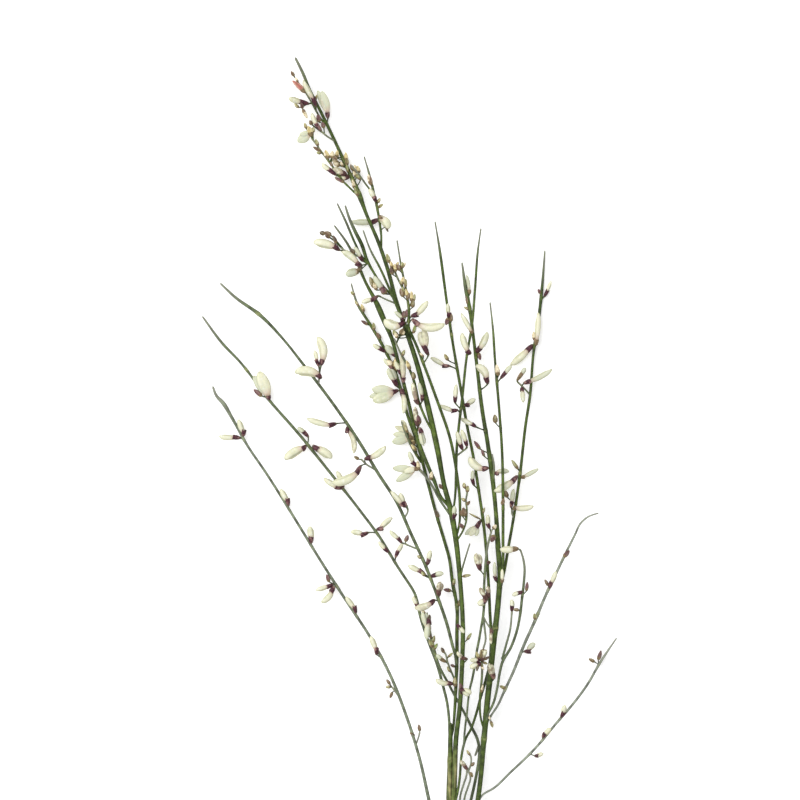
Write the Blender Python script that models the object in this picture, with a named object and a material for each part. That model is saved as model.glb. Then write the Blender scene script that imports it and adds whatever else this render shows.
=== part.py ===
import bmesh
import bpy
import math
import numpy as np

# A cut spray of white broom that lies on a flat surface and is looked down on.
# Lengths in the tables are millimetres. Table x runs right from the left edge of the
# layout sheet, y runs up the spray from the sheet's lower edge, z is height above the
# surface. The scene itself is in metres.
MM = 0.001
SPRAY_WIDTH = 166.0
SPRAY_TOP_Y = 297.2
CUT_END_Y = -50.0
LEFTMOST_TIP_X = 80.8
CENTRE_X = LEFTMOST_TIP_X + SPRAY_WIDTH / 2
CENTRE_Y = (SPRAY_TOP_Y + CUT_END_Y) / 2

# Green, leafless twigs
TWIG_COLOUR = (0.125, 0.2, 0.055, 1.0)
STEM_SIDES = 6
TWIG_SIDES = 5
FINE_TWIG_SIDES = 4
STALK_SIDES = 3
CUT_SLANT = 0.45

# Flowers
CALYX_SIDES = 5
KEEL_SIDES = 3
KEEL_FROM_WIDTH = 2.2
BLADE_THICKNESS = 0.66
CALYX_BASE_RADIUS = 0.42
STALK_RADIUS = 0.34
BUD_STALK_RADIUS = 0.3
STALK_FROM_LENGTH = 1.1
PETAL_DEPTH_SHARE = 0.5
KEEL_DEPTH_SHARE = 0.7
SURFACE_CLEARANCE = 0.12

# Welding distance in metres
WELD = 0.000001

# Neighbouring faces that turn less than this (radians) become one, and the faces are
# split into triangles in one of two ways. The first pair that leaves a node closed is used.
FLAT_ENOUGH = (0.09, 0.08, 0.07, 0.06, 0.05, 0.04, 0.03, 0.01)
SPLITS = ("BEAUTY", "EAR_CLIP")

# Each node is a list of lines. A line runs from its tip down to its foot as
# (x, y, z, radius), and the first line of a node carries the others.
LINES = {
    "stem_main": [
        [(118.0, 297.2, 3.6, 0.25), (120.8, 291.6, 3.0, 0.45), (124.0, 284.0, 2.4, 0.5),
         (128.8, 274.4, 1.6, 0.55), (133.6, 264.4, 1.1, 0.6), (138.0, 254.8, 1.6, 0.62),
         (142.0, 246.0, 2.6, 0.65), (146.4, 234.8, 4.2, 0.7), (151.2, 223.6, 6.0, 0.75),
         (155.2, 212.0, 7.6, 0.8), (158.4, 200.0, 8.8, 0.85), (162.4, 188.0, 9.6, 0.9),
         (166.4, 176.0, 10.0, 1.0), (170.8, 159.2, 10.0, 1.15), (175.6, 142.0, 10.0, 1.3),
         (178.0, 125.2, 10.0, 1.3), (180.4, 115.2, 10.0, 1.25), (182.4, 104.0, 10.0, 1.1),
         (184.0, 88.4, 10.0, 0.95), (185.2, 68.0, 10.0, 0.9), (184.8, 52.8, 10.0, 0.9),
         (183.6, 38.0, 10.0, 0.95), (182.4, 24.0, 10.0, 1.0), (181.6, 12.0, 9.6, 1.1),
         (181.2, 0.0, 8.8, 1.25), (180.8, -12.0, 7.2, 1.8), (180.4, -26.0, 4.6, 2.0),
         (180.6, -38.0, 2.7, 2.1), (180.8, -50.0, 2.15, 2.2)],
        [(180.4, 26.0, 8.4, 0.8), (180.0, 18.0, 8.6, 1.0), (179.6, 10.0, 8.6, 1.1),
         (179.2, 0.0, 8.2, 1.2), (180.2, -12.0, 7.0, 1.3)],
        [(185.6, 126.4, 12.4, 0.25), (186.8, 124.0, 12.4, 0.35), (186.4, 120.0, 12.2, 0.35),
         (186.8, 115.2, 12.0, 0.35), (186.2, 110.4, 12.0, 0.36), (184.9, 107.2, 11.9, 0.38),
         (182.6, 103.6, 10.2, 0.45)],
        [(188.0, 102.8, 11.4, 0.25), (186.4, 97.6, 11.0, 0.35), (184.8, 92.0, 10.5, 0.38),
         (184.0, 87.0, 10.0, 0.4)],
        [(124.4, 265.2, 4.2, 0.25), (129.6, 258.0, 4.4, 0.35), (133.2, 253.2, 4.2, 0.35),
         (137.6, 247.2, 3.8, 0.38), (140.0, 244.8, 3.4, 0.4), (143.2, 241.8, 3.0, 0.42)],
        [(128.4, 267.6, 3.4, 0.3), (130.8, 265.6, 2.6, 0.35), (134.0, 263.6, 1.3, 0.4)],
        [(151.0, 202.0, 7.2, 0.28), (154.0, 200.4, 7.4, 0.34), (158.4, 198.6, 8.9, 0.4)],
    ],
    "stem_right": [
        [(184.8, 215.2, 4.5, 0.2), (186.4, 204.0, 4.8, 0.5), (188.0, 196.0, 5.0, 0.6),
         (189.2, 186.8, 5.3, 0.65), (190.8, 173.6, 5.8, 0.7), (192.8, 156.8, 6.5, 0.8),
         (195.2, 142.0, 7.6, 0.9), (196.8, 128.0, 8.5, 1.0), (198.0, 116.0, 9.2, 1.1),
         (199.2, 102.0, 9.5, 1.1), (200.0, 90.0, 9.5, 1.1), (199.2, 78.0, 9.5, 1.15),
         (197.6, 64.0, 9.5, 1.2), (196.4, 52.8, 9.5, 1.2), (195.2, 41.6, 9.5, 1.2),
         (194.0, 28.4, 9.5, 1.15), (193.2, 20.0, 9.5, 1.1), (192.4, 10.0, 9.2, 1.0),
         (191.2, 0.0, 8.4, 1.0), (189.6, -10.0, 7.2, 1.0), (187.0, -20.0, 5.7, 1.0),
         (183.95, -29.0, 4.38, 0.95)],
        [(196.8, 138.6, 9.6, 0.3), (197.6, 134.0, 9.5, 0.4), (197.2, 127.0, 8.8, 0.5)],
    ],
    "twig_left_1": [
        [(84.8, 165.6, 3.0, 0.2), (88.8, 159.6, 3.0, 0.5), (92.8, 152.8, 3.0, 0.55),
         (98.8, 142.0, 3.0, 0.6), (106.4, 130.8, 3.0, 0.6), (116.0, 115.6, 3.1, 0.65),
         (126.8, 98.0, 3.3, 0.65), (138.0, 80.4, 3.7, 0.7), (148.0, 65.2, 4.2, 0.7),
         (156.8, 48.4, 5.0, 0.72), (162.4, 34.0, 5.8, 0.75), (168.0, 16.0, 6.6, 0.75),
         (171.6, 0.0, 6.6, 0.78), (174.8, -14.0, 5.6, 0.8), (177.7, -27.0, 4.4, 0.8)],
        [(156.6, 45.4, 5.4, 0.3), (158.0, 43.6, 5.3, 0.35), (159.4, 41.6, 5.3, 0.4)],
        [(168.0, 27.4, 6.4, 0.28), (167.4, 25.0, 6.4, 0.32), (166.2, 21.6, 6.3, 0.36)],
    ],
    "twig_left_2": [
        [(80.8, 193.6, 2.4, 0.2), (88.8, 182.8, 2.5, 0.5), (96.0, 175.2, 2.6, 0.6),
         (107.6, 160.0, 2.8, 0.7), (119.2, 146.8, 3.0, 0.75), (131.2, 132.0, 3.2, 0.75),
         (143.2, 116.8, 3.5, 0.75), (152.4, 104.8, 3.7, 0.75), (160.0, 92.8, 4.0, 0.7),
         (166.0, 83.2, 4.0, 0.65), (168.8, 71.6, 4.0, 0.6), (172.0, 61.6, 4.0, 0.6),
         (174.8, 54.4, 4.0, 0.6), (176.8, 47.2, 4.4, 0.58), (179.0, 38.0, 6.0, 0.55),
         (179.7, 31.2, 7.4, 0.55), (179.8, 26.4, 8.05, 0.5)],
    ],
    "twig_left_3": [
        [(88.0, 206.8, 6.0, 0.2), (94.0, 201.2, 6.2, 0.6), (104.0, 194.0, 6.5, 0.65),
         (113.6, 184.0, 6.8, 0.5), (121.2, 174.4, 7.0, 0.7), (133.6, 158.0, 7.5, 0.75),
         (144.0, 142.8, 8.0, 0.78), (151.2, 130.8, 8.3, 0.8), (159.2, 118.8, 8.5, 0.8),
         (164.4, 107.2, 8.5, 0.8), (169.6, 95.2, 8.5, 0.75), (175.2, 80.8, 8.5, 0.7),
         (178.8, 70.4, 8.2, 0.65), (181.2, 61.2, 7.4, 0.6), (182.1, 57.95, 6.4, 0.55)],
        [(128.0, 171.0, 8.0, 0.3), (127.6, 168.4, 7.8, 0.36), (127.4, 165.8, 7.3, 0.42)],
        [(144.2, 136.6, 9.0, 0.3), (146.4, 134.4, 8.9, 0.34), (150.0, 132.2, 8.3, 0.4)],
        [(162.6, 118.4, 9.4, 0.3), (163.2, 115.6, 9.2, 0.34), (161.6, 112.6, 8.5, 0.4)],
        [(160.8, 103.0, 9.3, 0.3), (164.0, 101.6, 9.1, 0.34), (168.0, 100.0, 8.5, 0.4)],
    ],
    "twig_left_low": [
        [(170.8, 75.2, 8.4, 0.2), (172.0, 67.2, 7.8, 0.5), (173.2, 61.6, 7.2, 0.6),
         (174.8, 56.0, 6.8, 0.5), (176.4, 52.0, 6.2, 0.5), (178.8, 47.6, 4.9, 0.5),
         (182.4, 40.8, 3.4, 0.5), (186.4, 33.6, 3.0, 0.55), (188.8, 28.8, 3.0, 0.6),
         (190.8, 24.8, 3.2, 0.6), (191.8, 20.4, 3.8, 0.6), (191.6, 16.0, 4.4, 0.6),
         (190.6, 10.0, 5.0, 0.6), (188.4, 0.0, 5.6, 0.6), (186.6, -7.0, 6.0, 0.55),
         (183.55, -15.05, 6.25, 0.5)],
        [(189.9, 17.4, 4.4, 0.35), (190.8, 19.6, 4.0, 0.5), (191.6, 22.2, 3.5, 0.45)],
    ],
    "twig_mid_1": [
        [(133.6, 230.0, 4.6, 0.2), (138.8, 222.8, 5.0, 0.6), (142.4, 216.0, 5.2, 0.65),
         (146.8, 206.0, 5.5, 0.8), (151.2, 197.2, 5.7, 0.9), (156.4, 185.2, 5.9, 0.8),
         (160.0, 172.8, 6.0, 0.75), (163.2, 160.0, 6.2, 0.75), (167.2, 144.0, 6.6, 0.75),
         (170.4, 135.6, 7.2, 0.75), (173.6, 128.0, 8.2, 0.75), (176.7, 120.8, 9.7, 0.6)],
    ],
    "twig_mid_2": [
        [(140.4, 206.8, 2.2, 0.2), (142.8, 198.8, 2.0, 0.5), (148.0, 190.4, 1.6, 0.6),
         (154.0, 180.0, 1.2, 0.65), (159.2, 168.0, 0.8, 0.7), (162.4, 156.0, 0.566, 0.7),
         (167.2, 142.0, 0.566, 0.7), (171.2, 126.8, 0.566, 0.7), (174.4, 114.8, 0.566, 0.7),
         (178.0, 102.8, 0.566, 0.7), (179.6, 97.2, 1.0, 0.7), (181.2, 86.0, 2.4, 0.75),
         (182.8, 77.6, 3.4, 0.75), (182.8, 66.4, 4.4, 0.8), (182.8, 56.0, 5.0, 0.8),
         (182.4, 46.0, 5.8, 0.7), (181.9, 36.0, 6.8, 0.65), (181.0, 27.4, 7.35, 0.6)],
        [(160.4, 151.6, 3.4, 0.3), (162.0, 147.6, 3.0, 0.5), (164.8, 141.2, 1.8, 0.55),
         (168.6, 135.0, 0.8, 0.55)],
        [(177.2, 60.0, 8.6, 0.25), (178.4, 58.0, 8.6, 0.32), (178.8, 56.0, 8.5, 0.34),
         (180.6, 51.2, 7.0, 0.36), (182.5, 46.6, 5.8, 0.4)],
    ],
    "twig_mid_3": [
        [(138.0, 238.0, 8.0, 0.2), (140.0, 232.0, 8.0, 0.45), (142.4, 226.8, 8.0, 0.5),
         (144.8, 222.0, 8.0, 0.5), (146.8, 216.0, 8.2, 0.5), (149.6, 210.8, 8.4, 0.5),
         (152.8, 206.0, 8.5, 0.5), (156.25, 202.3, 8.6, 0.45)],
        [(134.8, 238.8, 8.2, 0.2), (138.4, 231.2, 8.2, 0.4), (142.0, 222.8, 8.2, 0.42),
         (144.4, 218.0, 8.2, 0.42), (146.9, 214.6, 8.2, 0.45)],
        [(136.0, 221.2, 9.4, 0.25), (140.0, 218.4, 9.0, 0.34), (144.6, 217.4, 8.2, 0.4)],
    ],
    "twig_mid_4": [
        [(145.6, 257.6, 5.0, 0.2), (147.6, 250.8, 5.4, 0.45), (149.6, 242.8, 5.8, 0.5),
         (151.6, 232.8, 6.2, 0.5), (152.55, 224.1, 6.35, 0.45)],
        [(140.4, 254.0, 5.8, 0.25), (143.2, 250.8, 5.8, 0.36), (146.0, 246.8, 5.7, 0.38),
         (149.2, 242.6, 5.8, 0.4)],
    ],
    "twig_mid_5": [
        [(145.2, 228.0, 9.5, 0.2), (148.0, 220.4, 10.0, 0.45), (152.0, 212.8, 10.7, 0.55),
         (156.0, 204.0, 11.3, 0.6), (160.8, 192.8, 11.8, 0.65), (165.6, 184.0, 12.0, 0.65),
         (169.6, 174.0, 12.4, 0.65), (174.8, 160.0, 12.8, 0.7), (180.0, 144.8, 12.8, 0.7),
         (182.8, 130.0, 12.4, 0.7), (184.0, 118.0, 11.2, 0.65), (183.5, 109.05, 10.0, 0.55)],
    ],
    "twig_mid_6": [
        [(158.8, 224.0, 14.0, 0.2), (160.4, 214.0, 14.2, 0.4), (162.4, 204.0, 14.2, 0.45),
         (163.6, 196.0, 14.0, 0.5), (163.8, 187.9, 13.25, 0.5)],
        [(154.4, 218.4, 13.6, 0.25), (157.2, 213.2, 13.8, 0.36), (159.2, 208.4, 14.0, 0.38),
         (162.4, 202.6, 14.2, 0.4)],
    ],
    "twig_mid_7": [
        [(157.6, 184.8, 9.4, 0.2), (160.4, 178.4, 9.6, 0.42), (163.2, 173.6, 9.7, 0.45),
         (165.6, 167.6, 9.9, 0.5), (168.0, 158.0, 10.2, 0.5), (169.7, 153.8, 10.8, 0.5),
         (171.1, 150.8, 11.45, 0.45)],
    ],
    "twig_mid_8": [
        [(166.0, 134.0, 5.4, 0.25), (168.4, 131.6, 5.4, 0.5), (170.8, 128.8, 5.4, 0.5),
         (173.6, 124.4, 6.2, 0.5), (175.6, 120.6, 7.4, 0.48), (178.05, 116.9, 9.15, 0.45)],
    ],
    "twig_right_1": [
        [(174.0, 231.6, 4.4, 0.2), (175.6, 222.0, 4.6, 0.5), (178.8, 198.8, 5.0, 0.55),
         (181.2, 182.4, 5.2, 0.55), (184.4, 164.0, 5.4, 0.6), (186.8, 150.0, 5.6, 0.6),
         (189.6, 136.0, 5.8, 0.6), (191.6, 123.2, 6.0, 0.62), (193.6, 109.2, 6.0, 0.62),
         (194.8, 96.0, 5.8, 0.62), (195.6, 84.0, 5.2, 0.62), (196.0, 75.2, 4.8, 0.62),
         (196.4, 68.0, 4.6, 0.62), (196.4, 60.8, 4.6, 0.62), (195.6, 52.8, 4.8, 0.6),
         (194.0, 46.8, 5.2, 0.58), (192.0, 40.0, 6.0, 0.55), (190.0, 32.8, 7.2, 0.52),
         (188.4, 28.4, 8.2, 0.5), (186.4, 24.8, 9.2, 0.5), (185.2, 20.8, 10.0, 0.5),
         (184.4, 16.0, 10.8, 0.5), (184.0, 10.0, 11.2, 0.5), (183.2, 4.0, 11.2, 0.5),
         (182.15, -0.75, 10.35, 0.45)],
    ],
    "twig_right_2": [
        [(192.4, 228.8, 9.0, 0.2), (191.2, 220.0, 9.2, 0.45), (190.0, 204.0, 9.4, 0.5),
         (188.8, 190.0, 9.6, 0.5), (186.8, 178.0, 9.6, 0.5), (184.8, 160.0, 9.6, 0.55),
         (183.6, 150.0, 9.6, 0.55), (182.8, 142.0, 9.4, 0.55), (182.4, 130.0, 9.2, 0.55),
         (182.2, 123.2, 9.2, 0.5), (181.7, 118.4, 9.5, 0.45)],
        [(187.2, 141.2, 10.6, 0.25), (185.2, 139.6, 10.2, 0.34), (182.6, 137.6, 9.4, 0.4)],
    ],
    "twig_right_3": [
        [(196.8, 108.4, 12.6, 0.25), (195.6, 104.0, 12.2, 0.45), (194.8, 100.4, 12.0, 0.5),
         (194.4, 96.8, 12.0, 0.5), (194.0, 92.0, 12.0, 0.5), (193.6, 84.0, 12.0, 0.52),
         (193.6, 78.0, 12.0, 0.52), (193.2, 73.2, 12.0, 0.55), (192.4, 68.8, 11.9, 0.5),
         (191.6, 64.0, 11.7, 0.5), (190.8, 60.0, 11.5, 0.5), (190.0, 54.4, 11.3, 0.5),
         (188.8, 48.0, 11.1, 0.48), (188.0, 44.8, 11.0, 0.45), (187.2, 39.2, 10.9, 0.42),
         (186.8, 34.8, 10.9, 0.42), (186.2, 30.4, 11.0, 0.42), (185.8, 26.4, 11.0, 0.42),
         (185.5, 22.2, 11.0, 0.4)],
        [(193.2, 60.4, 12.4, 0.35), (194.2, 64.0, 12.2, 0.4), (193.9, 68.0, 12.1, 0.42),
         (193.2, 73.6, 12.0, 0.45)],
        [(196.2, 68.6, 12.9, 0.3), (194.8, 70.6, 12.5, 0.34), (193.1, 73.8, 12.0, 0.4)],
    ],
    "twig_right_4": [
        [(196.0, 199.2, 12.0, 0.2), (197.2, 188.0, 12.0, 0.5), (198.0, 176.0, 12.0, 0.55),
         (199.2, 162.0, 12.0, 0.6), (200.0, 152.0, 12.0, 0.6), (200.8, 140.0, 12.0, 0.6),
         (201.2, 120.8, 12.0, 0.65), (201.2, 104.0, 12.0, 0.65), (201.2, 94.8, 11.9, 0.6),
         (200.35, 87.6, 11.3, 0.5)],
    ],
    "twig_right_5": [
        [(218.0, 220.0, 1.0, 0.2), (216.8, 204.0, 0.75, 0.55), (215.2, 190.0, 1.3, 0.65),
         (213.6, 180.0, 1.8, 0.65), (212.0, 161.2, 2.6, 0.7), (210.4, 150.8, 3.0, 0.7),
         (208.0, 130.0, 4.0, 0.7), (205.2, 111.2, 5.0, 0.7), (203.2, 100.0, 5.6, 0.7),
         (202.0, 92.8, 6.2, 0.7), (200.8, 87.2, 6.9, 0.65), (199.8, 81.9, 7.7, 0.55)],
        [(206.6, 167.6, 4.0, 0.3), (208.8, 165.6, 3.8, 0.35), (212.0, 162.2, 2.6, 0.4)],
        [(204.9, 117.0, 6.0, 0.3), (204.8, 114.8, 5.8, 0.36), (205.6, 112.6, 5.0, 0.4)],
    ],
    "twig_right_6": [
        [(208.0, 100.6, 14.4, 0.3), (209.2, 96.8, 14.0, 0.45), (209.8, 93.2, 13.6, 0.5),
         (209.6, 88.0, 13.2, 0.52), (208.8, 80.8, 12.8, 0.55), (208.0, 74.0, 12.6, 0.55),
         (206.8, 68.0, 12.5, 0.55), (204.4, 61.2, 12.4, 0.55), (200.8, 54.8, 12.4, 0.58),
         (200.0, 51.6, 12.4, 0.55), (198.8, 44.4, 12.2, 0.5), (197.2, 38.4, 11.8, 0.5),
         (195.25, 34.45, 11.1, 0.45)],
        [(204.8, 76.0, 12.6, 0.35), (204.0, 68.0, 12.5, 0.42), (202.4, 62.0, 12.4, 0.45),
         (200.8, 56.2, 12.4, 0.5)],
    ],
    "twig_right_7": [
        [(239.6, 114.8, 3.0, 0.2), (235.2, 113.2, 3.0, 0.4), (232.4, 110.8, 3.1, 0.45),
         (230.0, 106.0, 3.2, 0.48), (226.4, 98.8, 3.4, 0.55), (222.4, 90.4, 3.7, 0.6),
         (218.4, 82.0, 4.2, 0.62), (214.0, 71.6, 5.0, 0.65), (210.0, 62.8, 5.8, 0.65),
         (204.8, 50.0, 7.0, 0.6), (201.6, 43.2, 7.8, 0.55), (199.2, 38.0, 8.4, 0.5),
         (196.2, 33.35, 8.9, 0.45)],
    ],
    "twig_right_8": [
        [(246.8, 64.8, 1.6, 0.2), (243.2, 59.6, 1.8, 0.45), (239.6, 54.0, 2.1, 0.5),
         (235.2, 46.4, 2.5, 0.52), (228.0, 36.8, 3.2, 0.52), (222.4, 30.4, 3.8, 0.52),
         (216.8, 23.6, 4.6, 0.52), (212.0, 18.4, 5.4, 0.52), (204.4, 11.2, 6.8, 0.5),
         (197.6, 4.8, 8.0, 0.45), (192.75, 1.75, 8.54, 0.4)],
    ],
    "twig_low_1": [
        [(192.4, 57.6, 14.6, 0.3), (192.8, 54.0, 14.2, 0.45), (192.8, 50.0, 13.4, 0.48),
         (192.4, 45.2, 12.2, 0.5), (192.0, 40.0, 11.2, 0.48), (192.0, 35.2, 10.3, 0.45),
         (192.7, 31.1, 9.6, 0.42)],
    ],
    "twig_low_2": [
        [(186.8, 12.8, 13.6, 0.4), (186.6, 10.0, 12.9, 0.4), (185.6, 6.8, 11.6, 0.4),
         (184.3, 2.4, 9.8, 0.4), (183.2, -4.4, 8.0, 0.38)],
        [(186.9, 12.9, 13.6, 0.36), (188.2, 9.0, 12.9, 0.38), (187.3, 5.6, 11.6, 0.4),
         (186.1, 2.0, 10.2, 0.4), (185.2, -3.0, 8.9, 0.4), (183.9, -10.0, 7.4, 0.38)],
        [(187.6, 19.4, 14.2, 0.25), (188.4, 17.2, 14.0, 0.3), (188.4, 14.8, 13.8, 0.34),
         (187.4, 11.8, 13.5, 0.38)],
    ],
}

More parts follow.
